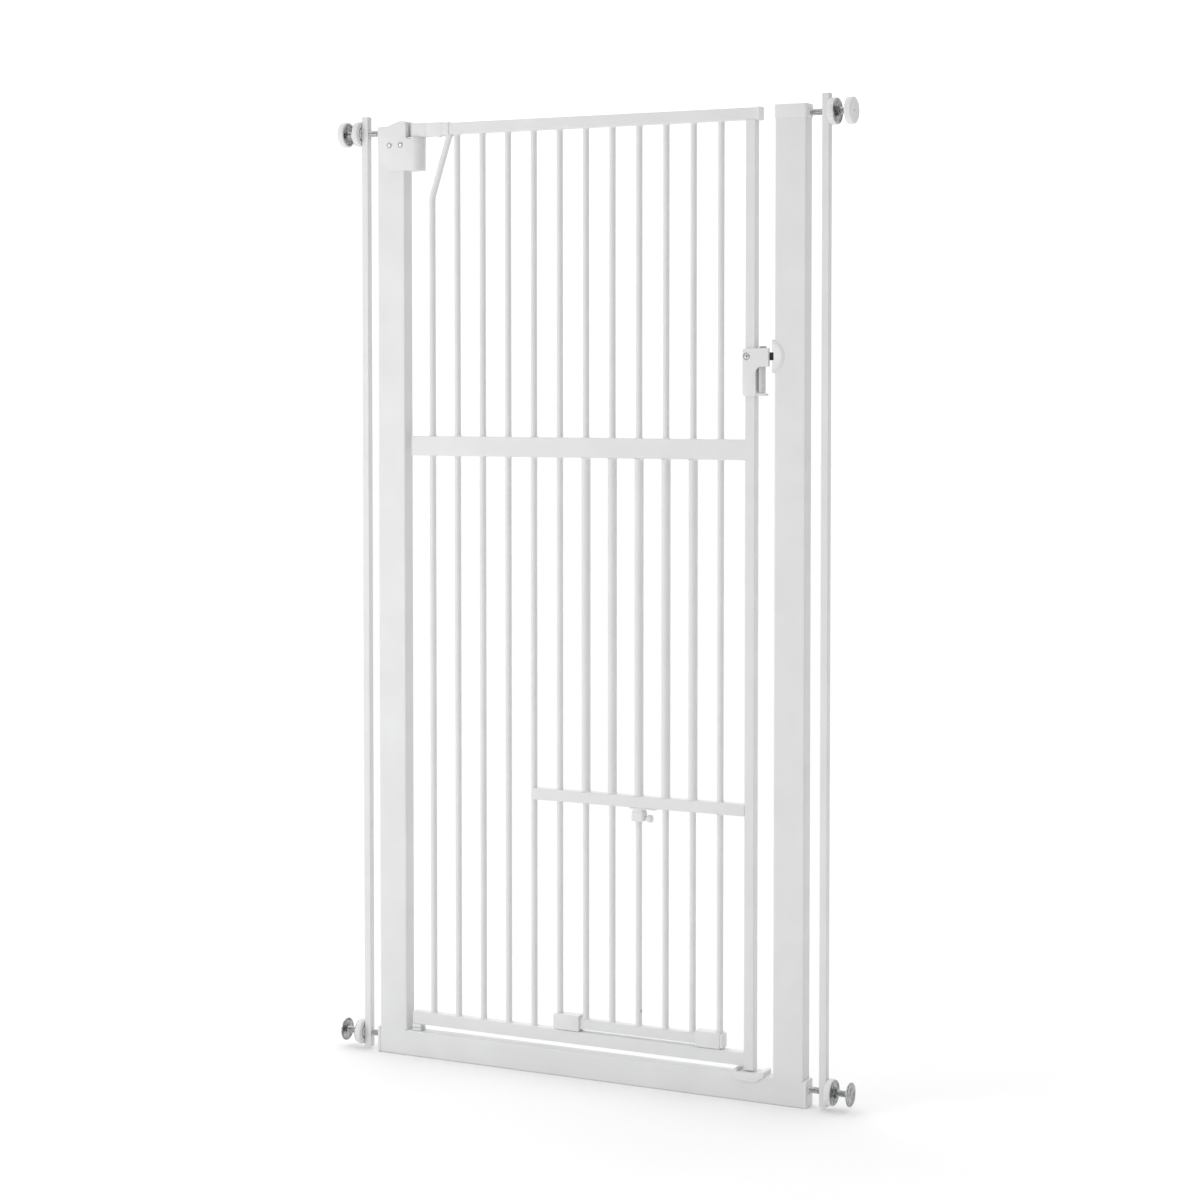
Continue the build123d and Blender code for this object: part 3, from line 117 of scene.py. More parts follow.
def coated(name, dark, light, rough, grain, grain_depth, wave, wave_depth, specular=0.5):
    """A white coat or moulding: faint mottling, a fine skin and a slow unevenness."""
    material, tree, shader, place = new_material(name)
    mottle, patches = noise(tree, place, 14.0, 4.0), noise(tree, place, 60.0, 3.0)
    tree.links.new(ramp(tree, mottle, dark, light), shader.inputs["Base Color"])
    tree.links.new(spread(tree, patches, *rough), shader.inputs["Roughness"])
    slow = bump(tree, noise(tree, place, wave, 2.0), 0.5, wave_depth)
    fine = bump(tree, noise(tree, place, grain, 3.0), 0.6, grain_depth, slow)
    tree.links.new(fine, shader.inputs["Normal"])
    shader.inputs["Specular IOR Level"].default_value = specular
    return material


def plated(name, dark, light, rough, scratch_stretch, scratch_depth):
    """Zinc plate: cloudy patches, fine scratches and a slightly uneven polish."""
    material, tree, shader, place = new_material(name)
    clouds, patches = noise(tree, place, 160.0, 5.0), noise(tree, place, 420.0, 3.0)
    tree.links.new(ramp(tree, clouds, dark, light), shader.inputs["Base Color"])
    tree.links.new(spread(tree, patches, *rough), shader.inputs["Roughness"])
    scratches = noise(tree, place, 900.0, 2.0, scratch_stretch)
    tree.links.new(bump(tree, scratches, 0.5, scratch_depth), shader.inputs["Normal"])
    shader.inputs["Metallic"].default_value = 1.0
    return material


PAINT = coated("powder_coat", (0.715, 0.717, 0.72), (0.755, 0.757, 0.76), (0.36, 0.47),
               1300.0, 0.00003, 220.0, 0.00005)
PLASTIC = coated("moulded_plastic", (0.735, 0.737, 0.737), (0.765, 0.767, 0.765), (0.40, 0.48),
                 2200.0, 0.000012, 90.0, 0.00004)
# The trigger's plastic is the white moulding made darker. This is painted shade for the shadow that the head
# and lip cast on its side.
TRIGGER_PAINTED_SHADE = coated("trigger_plastic_painted_shade", (0.61, 0.615, 0.62), (0.65, 0.655, 0.66), (0.36, 0.44),
                 2200.0, 0.000012, 90.0, 0.00003)
BUTTON = coated("button_plastic", (0.36, 0.365, 0.37), (0.42, 0.425, 0.43), (0.32, 0.40),
                2200.0, 0.000012, 90.0, 0.00003)
COVER = coated("pad_cover", (0.74, 0.74, 0.735), (0.78, 0.78, 0.775), (0.55, 0.68),
               1600.0, 0.00004, 200.0, 0.00005, 0.35)
ZINC = plated("zinc_plate", (0.15, 0.153, 0.155), (0.50, 0.505, 0.51), (0.18, 0.40),
              (1.0, 1.0, 0.15), 0.00002)
THREAD = plated("threaded_zinc", (0.45, 0.453, 0.455), (0.68, 0.682, 0.685), (0.20, 0.34),
                (0.2, 1.0, 1.0), 0.00001)
STEEL = plated("screw_steel", (0.55, 0.55, 0.555), (0.75, 0.75, 0.755), (0.18, 0.30),
               (1.0, 0.3, 1.0), 0.00001)
BOLT = plated("bolt_steel", (0.05, 0.05, 0.052), (0.10, 0.10, 0.105), (0.34, 0.48),
              (0.2, 1.0, 1.0), 0.00001)


# ---------------------------------------------------------------- mesh helpers
def mesh_object(name, verts, faces):
    mesh = bpy.data.meshes.new(name)
    mesh.from_pydata([(x * MM, y * MM, z * MM) for x, y, z in verts], [], faces)
    work = bmesh.new()
    work.from_mesh(mesh)
    bmesh.ops.recalc_face_normals(work, faces=work.faces)
    work.to_mesh(mesh)
    work.free()
    obj = bpy.data.objects.new(name, mesh)
    scene.collection.objects.link(obj)
    return obj


def placed(axis, along, u, v):
    """A point from its place along an axis and its place across it, in X, Y, Z order."""
    if axis == "X":
        return (along, u, v)
    if axis == "Y":
        return (u, along, v)
    return (u, v, along)


def prism(outline, axis, low, high):
    """An outline, given across the axis in X, Y, Z order, drawn out along it."""
    count = len(outline)
    verts = [placed(axis, along, u, v) for along in (low, high) for u, v in outline]
    faces = [list(range(count)), list(range(count, 2 * count))]
    faces += [[i, (i + 1) % count, count + (i + 1) % count, count + i] for i in range(count)]
    return mesh_object("prism", verts, faces)


def block(x0, x1, y0, y1, z0, z1):
    return prism([(x0, y0), (x1, y0), (x1, y1), (x0, y1)], "Z", z0, z1)


def rounded(corners, step=12):
    """An outline from (u, v, radius) corners, with an arc at each corner that has a radius."""
    points = []
    for i, (u, v, radius) in enumerate(corners):
        here = Vector((u, v))
        to_last = (Vector(corners[i - 1][:2]) - here).normalized()
        to_next = (Vector(corners[(i + 1) % len(corners)][:2]) - here).normalized()
        angle = to_last.angle(to_next)
        if radius <= 0 or angle > math.pi - 0.01:
            points.append((u, v))
            continue
        reach = radius / math.tan(angle / 2)
        centre = here + (to_last + to_next).normalized() * radius / math.sin(angle / 2)
        start, end = here + to_last * reach - centre, here + to_next * reach - centre
        first = math.atan2(start.y, start.x)
        turn = (math.atan2(end.y, end.x) - first + math.pi) % (2 * math.pi) - math.pi
        count = max(2, math.ceil(abs(math.degrees(turn)) / step))
        for k in range(count + 1):
            a = first + turn * k / count
            points.append((centre.x + radius * math.cos(a), centre.y + radius * math.sin(a)))
    return points


def rounded_rect(u0, u1, v0, v1, radius):
    return rounded([(u0, v0, radius), (u1, v0, radius), (u1, v1, radius), (u0, v1, radius)])


def lathe(profile, axis, centre, segments=48, ripple=None, closed=False):
    """A turned shape from (place along the axis, radius) points, closed at radius 0 or into a ring.

    ripple(angle, radius) shapes each ring.
    """
    verts, rings = [], []
    for along, radius in profile:
        if radius <= 0:
            rings.append([len(verts)])
            verts.append(placed(axis, along, *centre))
            continue
        ring = []
        for k in range(segments):
            a = 2 * math.pi * k / segments
            r = ripple(a, radius) if ripple else radius
            ring.append(len(verts))
            across = centre[0] + r * math.cos(a), centre[1] + r * math.sin(a)
            verts.append(placed(axis, along, *across))
        rings.append(ring)
    faces = []
    pairs = list(zip(rings, rings[1:])) + ([(rings[-1], rings[0])] if closed else [])
    for a, b in pairs:
        if len(a) == 1 and len(b) == 1:
            continue
        for k in range(segments):
            n = (k + 1) % segments
            if len(a) == 1:
                faces.append([a[0], b[k], b[n]])
            elif len(b) == 1:
                faces.append([a[k], a[n], b[0]])
            else:
                faces.append([a[k], a[n], b[n], b[k]])
    return mesh_object("lathe", verts, faces)


def bake_modifiers(obj):
    """Replaces an object's mesh by what its modifiers make of it."""
    bpy.context.view_layer.update()
    graph = bpy.context.evaluated_depsgraph_get()
    mesh = bpy.data.meshes.new_from_object(obj.evaluated_get(graph))
    obj.modifiers.clear()
    obj.data = mesh
    return obj


def combine(obj, others, operation):
    for other in others:
        modifier = obj.modifiers.new("combine", "BOOLEAN")
        modifier.object = other
        modifier.operation = operation
        modifier.solver = "EXACT"
    bake_modifiers(obj)
    for other in others:
        bpy.data.objects.remove(other)
    return obj


def cut(obj, *others):
    return combine(obj, others, "DIFFERENCE")


def add(obj, *others):
    return combine(obj, others, "UNION")


def keep(obj, *others):
    return combine(obj, others, "INTERSECT")


def soften(obj, width, segments=3, angle=30):
    """Rounds every edge sharper than an angle, in degrees."""
    modifier = obj.modifiers.new("soften", "BEVEL")
    modifier.width = width * MM
    modifier.segments = segments
    modifier.limit_method = "ANGLE"
    modifier.angle_limit = math.radians(angle)
    modifier.use_clamp_overlap = True
    return bake_modifiers(obj)


def round_edges(obj, width, segments, chosen):
    """Rounds the sharp edges whose two ends both pass a test on their place in millimetres."""
    work = bmesh.new()
    work.from_mesh(obj.data)
    edges = [edge for edge in work.edges
             if len(edge.link_faces) == 2 and edge.calc_face_angle(0) > math.radians(30)
             and all(chosen(vert.co / MM) for vert in edge.verts)]
    bmesh.ops.bevel(work, geom=edges, offset=width * MM, segments=segments, profile=0.5,
                    affect="EDGES", clamp_overlap=True)
    work.to_mesh(obj.data)
    work.free()
    return obj


def join(shapes):
    """Separate shapes gathered in one mesh."""
    work = bmesh.new()
    for shape in shapes:
        work.from_mesh(shape.data)
    mesh = bpy.data.meshes.new("joined")
    work.to_mesh(mesh)
    work.free()
    for shape in shapes[1:]:
        bpy.data.objects.remove(shape)
    shapes[0].data = mesh
    return shapes[0]


def mirrored(obj):
    """A copy of a shape on the other side of the gate."""
    mesh = obj.data.copy()
    mesh.transform(Matrix.Scale(-1, 4, Vector((1, 0, 0))))
    mesh.flip_normals()
    copy = bpy.data.objects.new("mirrored", mesh)
    scene.collection.objects.link(copy)
    return copy


def swap(obj):
    """Moves a shape to the other side of the gate."""
    copy = mirrored(obj)
    bpy.data.objects.remove(obj)
    return copy


def shade(obj, angle=35):
    """Smooth shading, broken at edges sharper than an angle."""
    obj.data.polygons.foreach_set("use_smooth", [True] * len(obj.data.polygons))
    work = bmesh.new()
    work.from_mesh(obj.data)
    limit = math.radians(angle)
    for edge in work.edges:
        edge.smooth = len(edge.link_faces) == 2 and edge.calc_face_angle(0) < limit
    work.to_mesh(obj.data)
    work.free()


def rod(axis, low, high, radius, centre, segments=32):
    """A plain round bar, mostly used to cut a hole."""
    return lathe([(low, 0), (low, radius), (high, radius), (high, 0)], axis, centre, segments)


def piece(name, obj, body, material, replaces=()):
    """Names a finished shape, gives it its material and lets it ride on a body."""
    obj.name = name
    obj.data.name = name
    shade(obj)
    obj.data.materials.clear()
    obj.data.materials.append(material)
    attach(obj, body)
    if replaces:
        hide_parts(*replaces)
    return obj


# ---------------------------------------------------------------- sizes from the frame
RAIL_TOP = span("bottom_rail", "Z")[1]
UPRIGHT_OUT = span("right_upright", "X")[1]
UPRIGHT_IN = span("right_upright", "X")[0]
HALF_DEPTH = span("right_upright", "Y")[1]
STILE_LEFT, STILE_RIGHT = span("latch_stile", "X")
DOOR_HALF = span("latch_stile", "Y")[1]
TOP_RAIL_LOW, TOP_RAIL_HIGH = span("top_rail", "Z")
TOP_RAIL_LEFT, TOP_RAIL_RIGHT = span("top_rail", "X")
MID_LOW, MID_HIGH = span("mid_rail", "Z")
LOW_RAIL_LOW, LOW_RAIL_HIGH = span("low_rail", "Z")
PET_RAIL_LOW, PET_RAIL_HIGH = span("pet_rail", "Z")
PET_LOW_LOW, PET_LOW_HIGH = span("pet_low_rail", "Z")
BAR_RADIUS = span("latch_side_bar", "Y")[1]
FIRST_BAR = span("lower_bars", "X")[0] + BAR_RADIUS
LAST_BAR = span("latch_side_bar", "X")[1] - BAR_RADIUS
LAST_INDEX = 11                # the bars are numbered from 0 at the hinge
PET_BARS = range(6, 11)        # the bars that slide with the pet door
BAR_PITCH = (LAST_BAR - FIRST_BAR) / LAST_INDEX
HINGE_X = sum(span("hinge_pin", "X")) / 2
SIDE_IN, SIDE_OUT = span("side_bar_right", "X")
SIDE_LOW, SIDE_HIGH = span("side_bar_plugs_right", "Z")
SPINDLE_TOP = sum(span("spindle_top_right", "Z")) / 2
SPINDLE_LOW = sum(span("spindle_low_right", "Z")) / 2
PAD_FACE = span("pad_cover_top_right", "X")[1]
WHEEL_IN, WHEEL_OUT = span("wheel_top_right", "X")
HOUSING_LOW = span("hinge_housing_front", "Z")[0]
HOUSING_HIGH = span("hinge_housing_front", "Z")[1]
HOUSING_LEFT = span("hinge_housing_front", "X")[0]
BARREL_RADIUS = span("hinge_housing_back", "Y")[1]
HINGE_UPRIGHT_TOP = span("left_upright", "Z")[1]
PLUG_LOW, PLUG_HIGH = span("hinge_plug", "Z")
LATCH_LOW, LATCH_HIGH = span("latch_shell_front", "Z")
LATCH_LEFT, LATCH_RIGHT = span("latch_shell_front", "X")
LATCH_HALF = span("latch_shell_back", "Y")[1]
BOLT_LOW, BOLT_HIGH = span("latch_bolt", "Z")
BOLT_Z = (BOLT_LOW + BOLT_HIGH) / 2
LOCK_BAR = 8                   # the pet door bar that the lock's pin enters
LOCK_PIN_PLAY = 0.3
LOCK_PIN_RADIUS = 2.5
LOCK_Z = sum(span("pet_lock_knob", "Z")) / 2
PET_LIFT = 300.0               # how far the pet door slides up
PET_BAR_PLAY = 0.3             # between a sliding bar and its bore
CROWN_RIGHT = HINGE_X - 11.5   # right side of the hinge housing's crown
BARREL_TOP = HINGE_UPRIGHT_TOP - 17.0    # top of the housing's barrel, beside the crown
BARREL_SLOPE = 0.4             # how steeply the barrel's top falls towards the door
SCREW_SHANK = 1.9              # radius of a screw under its head
LATCH_SCREW_X = STILE_LEFT + 4.0
LATCH_WELL = 2.0               # how deep the latch screw's head sits
SHELL_SEAM = 0.06              # from the middle to each half of a two-part shell
HOUSING_BORE = 8.0             # radius of the bush's seat
PIN_BORE = 4.1                 # radius of the bores that turn on the hinge pins
BUSH_SEAT = 6.2                # radius of a spindle bush in its wall
ROD_BORE = 5.3                 # radius of the holes round a 10 mm rod or bar
OVER = 10.0                    # how far a cutter stands past what it cuts


def bar_x(index):
    return FIRST_BAR + BAR_PITCH * index


# ---------------------------------------------------------------- painted tubes
WELD_REACH = 3.2               # how far a weld fillet climbs a bar
WELD_SPREAD = 1.7              # how far it spreads on the rail
WELD_STEPS = (0.0, 0.2, 0.45, 0.72, 1.0)
BAR_BEVEL = 0.6                # on a bar's free end
BEND_DROP = 99.0               # the leaning bar's bend, below the top rail
BEND_SHIFT = 32.0              # how far its top stands away from the hinge
BEND_RADIUS = 40.0


def bar_profile(low, high, radius, weld_low, weld_high):
    """A bar's outline with a small weld fillet at each welded end."""
    fillet = [(WELD_REACH * share, radius + WELD_SPREAD * (1 - share) ** 2.2) for share in WELD_STEPS]
    bevel = [(0.0, radius - BAR_BEVEL), (BAR_BEVEL, radius)]
    points = [(low + along, r) for along, r in (fillet if weld_low else bevel)]
    points += [(high - along, r) for along, r in reversed(fillet if weld_high else bevel)]
    return [(points[0][0], 0)] + points + [(points[-1][0], 0)]


def bar(x, low, high, radius=None, weld_low=True, weld_high=True):
    profile = bar_profile(low, high, radius or BAR_RADIUS, weld_low, weld_high)
    return lathe(profile, "Z", (x, 0), 24)


def make_bars():
    upper = [bar(bar_x(i), MID_HIGH, TOP_RAIL_LOW) for i in range(1, LAST_INDEX + 1)]
    piece("upper_bar_tubes", join(upper), "door", PAINT, ["upper_bars"])
    lower = [bar(bar_x(i), LOW_RAIL_HIGH, MID_LOW) for i in range(PET_BARS[0])]
    piece("lower_bar_tubes", join(lower), "door", PAINT, ["lower_bars"])
    last = join([bar(LAST_BAR, LOW_RAIL_HIGH, PET_RAIL_LOW), bar(LAST_BAR, PET_RAIL_HIGH, MID_LOW)])
    piece("latch_side_bar_tube", last, "door", PAINT, ["latch_side_bar"])
    guides = []
    guide_radius = span("guide_tubes", "Y")[1]
    for i in PET_BARS:
        outer = bar_profile(PET_RAIL_HIGH, MID_LOW, guide_radius, True, True)[1:-1]
        bore = [(MID_LOW, BAR_RADIUS + PET_BAR_PLAY), (PET_RAIL_HIGH, BAR_RADIUS + PET_BAR_PLAY)]
        guides.append(lathe(outer + bore, "Z", (bar_x(i), 0), 28, closed=True))
    piece("guide_tube_set", join(guides), "door", PAINT, ["guide_tubes"])
    top = span("pet_bars", "Z")[1]
    sliding = [bar(bar_x(i), PET_LOW_HIGH, top, weld_high=False) for i in PET_BARS]
    locked = sliding[LOCK_BAR - PET_BARS[0]]
    surface = bar_x(LOCK_BAR) + BAR_RADIUS
    for z in (LOCK_Z, LOCK_Z - PET_LIFT):
        cut(locked, rod("X", surface - 4.2, surface + 2, LOCK_PIN_RADIUS + LOCK_PIN_PLAY, (0, z), 28))
    piece("pet_door_bars", join(sliding), "pet_door", PAINT, ["pet_bars"])


def make_bent_bar():
    """The bar that leans away from the hinge, swept along its bend."""
    x = bar_x(0)
    bend = TOP_RAIL_LOW - BEND_DROP
    slope = BEND_SHIFT / BEND_DROP
    angle = math.atan(slope)
    reach = BEND_RADIUS * math.tan(angle / 2)
    line = [(x, MID_HIGH), (x, MID_HIGH + WELD_REACH), (x, bend - reach)]
    for k in range(1, 9):
        a = angle * k / 8
        line.append((x + BEND_RADIUS * (1 - math.cos(a)), bend - reach + BEND_RADIUS * math.sin(a)))
    top_x = x + BEND_SHIFT
    for back in (WELD_REACH, 0.0, -6.0):
        line.append((top_x - slope * back, TOP_RAIL_LOW - back))
    verts, faces, count = [], [], 24
    for k, (cx, cz) in enumerate(line):
        before = Vector(line[max(k - 1, 0)])
        after = Vector(line[min(k + 1, len(line) - 1)])
        run = (after - before).normalized()
        radius = BAR_RADIUS + (WELD_SPREAD if k in (0, len(line) - 2, len(line) - 1) else 0.0)
        for s in range(count):
            a = 2 * math.pi * s / count
            across = radius * math.cos(a)
            verts.append((cx + across * run.y, radius * math.sin(a), cz - across * run.x))
    for k in range(len(line) - 1):
        for s in range(count):
            n = (s + 1) % count
            faces.append([k * count + s, k * count + n, (k + 1) * count + n, (k + 1) * count + s])
    faces.append(list(range(count)))
    faces.append([(len(line) - 1) * count + s for s in range(count)])
    bent = mesh_object("bent", verts, faces)
    bent = keep(bent, block(x - 20, x + 60, -20, 20, MID_HIGH, TOP_RAIL_LOW))
    piece("leaning_bar", bent, "door", PAINT, ["bent_bar"])


def coat(name, material):
    """Gives a CAD node its material and leaves its shape alone."""
    nodes[name].data.materials.clear()
    nodes[name].data.materials.append(material)


def coat_kept_nodes():
    """The frame's, door's and side tubes keep their CAD shape, and so does the hinge pin."""
    for name in ("left_upright", "right_upright", "bottom_rail", "side_bar_left", "side_bar_right",
                 "top_rail", "mid_rail", "low_rail", "latch_stile", "pet_rail", "pet_low_rail"):
        coat(name, PAINT)
    coat("hinge_pin", STEEL)


def make_weld_fills():
    """Ground-down welds: a thin skin that closes the joint line between two welded tubes."""
    proud = 0.03
    skins = []
    for x0, x1 in ((-UPRIGHT_OUT + 3, -UPRIGHT_IN - 3), (UPRIGHT_IN + 3, UPRIGHT_OUT - 3)):
        for y in (-HALF_DEPTH, HALF_DEPTH):
            skins.append(block(x0, x1, y - proud, y + proud, RAIL_TOP - 2.5, RAIL_TOP + 0.3))
    piece("upright_weld_skins", join(skins), "frame", PAINT)
    skins = []
    for low, high in ((MID_LOW, MID_HIGH), (LOW_RAIL_LOW, LOW_RAIL_HIGH)):
        for y in (-DOOR_HALF, DOOR_HALF):
            skins.append(block(STILE_LEFT - 0.3, STILE_LEFT + 2.0, y - proud, y + proud, low + 2, high - 2))
    piece("stile_weld_skins", join(skins), "door", PAINT)


# ---------------------------------------------------------------- hinge
def cross_screw(x, front, z, radius, height, shank_end):
    """A pan-head screw that faces the front, with a cross recess."""
    dome = [(front - height, 0), (front - height, radius * 0.45), (front - height * 0.86, radius * 0.76),
            (front - height * 0.5, radius * 0.95), (front, radius), (front, SCREW_SHANK),
            (shank_end, SCREW_SHANK), (shank_end, 0)]
    head = lathe(dome, "Y", (x, z), 32)
    arm, thick, deep = radius * 0.62, radius * 0.13, front - height * 0.25
    cutters = []
    for wide, tall in ((arm, thick), (thick, arm)):
        cutters.append(block(x - wide, x + wide, front - 2 * height, deep, z - tall, z + tall))
    return cut(head, add(*cutters))


def make_housing():
    """Two shells round the upright's head: a plate, a crown above it and a barrel round the hinge."""
    top = HINGE_UPRIGHT_TOP + 2.0
    right = HINGE_X + BARREL_RADIUS
    right_top = BARREL_TOP - BARREL_SLOPE * (right - CROWN_RIGHT)
    side = rounded([(HOUSING_LEFT, HOUSING_LOW, 36.0), (right, HOUSING_LOW, 0), (right, right_top, 0),
                    (CROWN_RIGHT, BARREL_TOP, 2.5), (CROWN_RIGHT, HOUSING_HIGH - 1.0, 2.0),
                    (CROWN_RIGHT - 12.0, HOUSING_HIGH, 30.0), (CROWN_RIGHT - 34.0, top, 16.0),
                    (HOUSING_LEFT, top, 2.0)], 6)
    for name, sign in (("front", -1), ("back", 1)):
        seam = SHELL_SEAM * sign
        arc = [(HINGE_X + BARREL_RADIUS * math.sin(math.radians(a)),
                sign * BARREL_RADIUS * math.cos(math.radians(a))) for a in range(0, 90, 6)]
        plan = [(HOUSING_LEFT - 1, seam), (HOUSING_LEFT - 1, sign * BARREL_RADIUS)] + arc
        plan.append((right, seam))
        shell = prism(plan, "Z", HOUSING_LOW - 1, HOUSING_HIGH + 1)
        shell = keep(shell, prism(side, "Y", -30, 30))
        below, above = HOUSING_LOW - OVER, HOUSING_HIGH + OVER
        upright = block(-UPRIGHT_OUT - 1, -UPRIGHT_IN, -HALF_DEPTH, HALF_DEPTH, below, HINGE_UPRIGHT_TOP)
        bore = rod("Z", below, above, HOUSING_BORE, (HINGE_X, 0))
        shell = cut(shell, upright, bore)
        face = sign * BARREL_RADIUS

        def on_face(place):
            return abs(place.y - face) < 0.01

        def on_curve(place):
            return on_face(place) and place.x < HINGE_X - 1 and place.z < top - 8

        shell = round_edges(shell, 2.2, 4, on_curve)
        shell = round_edges(shell, 0.8, 3, on_face)
        if sign < 0:
            out, brim, floor = face - 1.0, face + 0.1, face + 1.4
            well = [(out, 0), (out, 4.7), (brim, 4.5), (floor, 4.5), (floor, 0)]
            wells = [lathe(well, "Y", place, 28) for place in housing_screws()]
            shell = cut(shell, *wells)
        piece(f"housing_shell_{name}", shell, "frame", PLASTIC, [f"hinge_housing_{name}"])


def housing_screws():
    """Where the housing's two screws are, as (x, z)."""
    z = sum(span("housing_screws", "Z")) / 2
    low, high = span("housing_screws", "X")
    inset = (span("housing_screws", "Z")[1] - span("housing_screws", "Z")[0]) / 2
    return [(low + inset, z), (high - inset, z)]


def make_screws():
    heads = [cross_screw(x, -BARREL_RADIUS + 0.3, z, 3.7, 1.9, HALF_DEPTH) for x, z in housing_screws()]
    piece("housing_screw_pair", join(heads), "frame", STEEL, ["housing_screws"])
    latch = cross_screw(LATCH_SCREW_X, -LATCH_HALF + LATCH_WELL, BOLT_Z, 4.6, 2.2, LATCH_HALF - 2)
    x = HINGE_X + 43.5
    dome = [(PLUG_LOW - 1.6, 0), (PLUG_LOW - 1.6, 1.6), (PLUG_LOW - 1.1, 2.7), (PLUG_LOW, 3.1),
            (PLUG_LOW, SCREW_SHANK), (PLUG_LOW + 12, SCREW_SHANK), (PLUG_LOW + 12, 0)]
    under = lathe(dome, "Z", (x, 0), 28)
    slots = add(block(x - 1.9, x + 1.9, -0.4, 0.4, PLUG_LOW - 3, PLUG_LOW - 0.7),
                block(x - 0.4, x + 0.4, -1.9, 1.9, PLUG_LOW - 3, PLUG_LOW - 0.7))
    piece("door_screw_pair", join([latch, cut(under, slots)]), "door", STEEL, ["door_screws"])


def make_hinge_bush():
    """The bush's sleeve, and its ribbed collar where it stands above the barrel's sloping top."""
    top = span("hinge_bush", "Z")[1]
    wide = min(BARREL_RADIUS + 1.8, span("hinge_bush", "Y")[1])
    foot, neck, rib = BARREL_TOP - 15.0, BARREL_TOP - 12.0, wide - 0.4
    sleeve = HOUSING_BORE - 0.1
    profile = [(HOUSING_LOW, PIN_BORE), (HOUSING_LOW, sleeve), (foot, sleeve), (foot, rib)]
    for k in range(3):
        base = neck + 3.6 * k
        profile += [(base, rib), (base + 0.3, wide), (base + 2.6, wide), (base + 2.9, wide - 0.9)]
    profile += [(top - 1.6, wide - 0.9), (top - 1.3, wide), (top - 0.3, wide), (top, rib), (top, PIN_BORE)]
    bush = lathe(profile, "Z", (HINGE_X, 0), 56, closed=True)
    left, right, floor = CROWN_RIGHT - 40, HINGE_X + 30, HOUSING_LOW - OVER
    right_top = BARREL_TOP - BARREL_SLOPE * (right - CROWN_RIGHT)
    barrel = prism([(CROWN_RIGHT - 20, BARREL_TOP), (CROWN_RIGHT, BARREL_TOP), (right, right_top),
                    (right, floor), (CROWN_RIGHT - 20, floor)], "Y", -30, 30)
    round_sleeve = lathe([(floor - OVER, HOUSING_BORE), (HOUSING_HIGH, HOUSING_BORE), (HOUSING_HIGH, 40),
                          (floor - OVER, 40)], "Z", (HINGE_X, 0), 56, closed=True)
    barrel = keep(barrel, round_sleeve)
    crown = block(left, CROWN_RIGHT + 0.15, -30, 30, BARREL_TOP - 0.05, HOUSING_HIGH + OVER)
    bush = cut(bush, barrel, crown)
    piece("hinge_bush_ribbed", soften(bush, 0.25, 2, 40), "frame", PLASTIC, ["hinge_bush"])


def make_hinge_plug():
    """The knuckle over the hinge, in two mouldings with a seam between them, and its rail collar."""
    half = span("hinge_plug", "Y")[1]
    end = TOP_RAIL_LEFT
    seam = HINGE_X + 23.2
    arc = [(HINGE_X - half * math.sin(math.radians(a)), half * math.cos(math.radians(a)))
           for a in range(0, 181, 9)]
    knuckle = prism(arc + [(seam - 0.25, -half), (seam - 0.25, half)], "Z", PLUG_LOW, PLUG_HIGH)
    knuckle = soften(knuckle, 1.1, 4, 35)
    section = rounded_rect(-half + 0.25, half - 0.25, PLUG_LOW + 0.2, PLUG_HIGH - 0.3, 1.6)
    arm = soften(prism(section, "X", seam - 0.6, end), 0.5, 3, 50)
    section = rounded_rect(-DOOR_HALF - 1, DOOR_HALF + 1, TOP_RAIL_LOW - 1, TOP_RAIL_HIGH + 1, 2.4)
    collar = prism(section, "X", end - 1.0, end + 11.0)
    collar = cut(collar, block(end + 0.5, end + 20, -DOOR_HALF - 0.05, DOOR_HALF + 0.05,
                               TOP_RAIL_LOW - 0.05, TOP_RAIL_HIGH + 0.05))
    collar = soften(collar, 0.4, 3, 50)
    piece("hinge_knuckle", join([knuckle, arm, collar]), "door", PLASTIC, ["hinge_plug"])


LOWER_HINGE = (HINGE_X - 7.0, HINGE_X + 8.5, -8.0, 8.0)    # X and Y of the seat and the collar on it
SEAT_TOP = RAIL_TOP + 4.6


def make_lower_hinge():
    """A seat on the bottom rail and the pin that the door turns on."""
    plate = soften(block(*LOWER_HINGE, RAIL_TOP, SEAT_TOP), 0.8, 3, 40)
    pin_top = span("lower_hinge_bracket", "Z")[1]
    pin = lathe([(SEAT_TOP - 0.6, 0), (SEAT_TOP - 0.6, 3.95), (pin_top - 0.8, 3.95), (pin_top, 3.2),
                 (pin_top, 0)], "Z", (HINGE_X, 0), 28)
    piece("lower_hinge_seat", join([plate, pin]), "frame", PLASTIC, ["lower_hinge_bracket"])


# ---------------------------------------------------------------- door plugs and caps
def tube_plug(x0, x1, low, high):
    """The visible head of a plug in the end of a rail, with a softened face."""
    return soften(prism(rounded_rect(-DOOR_HALF, DOOR_HALF, low, high, 1.5), "X", x0, x1), 0.55, 3, 50)


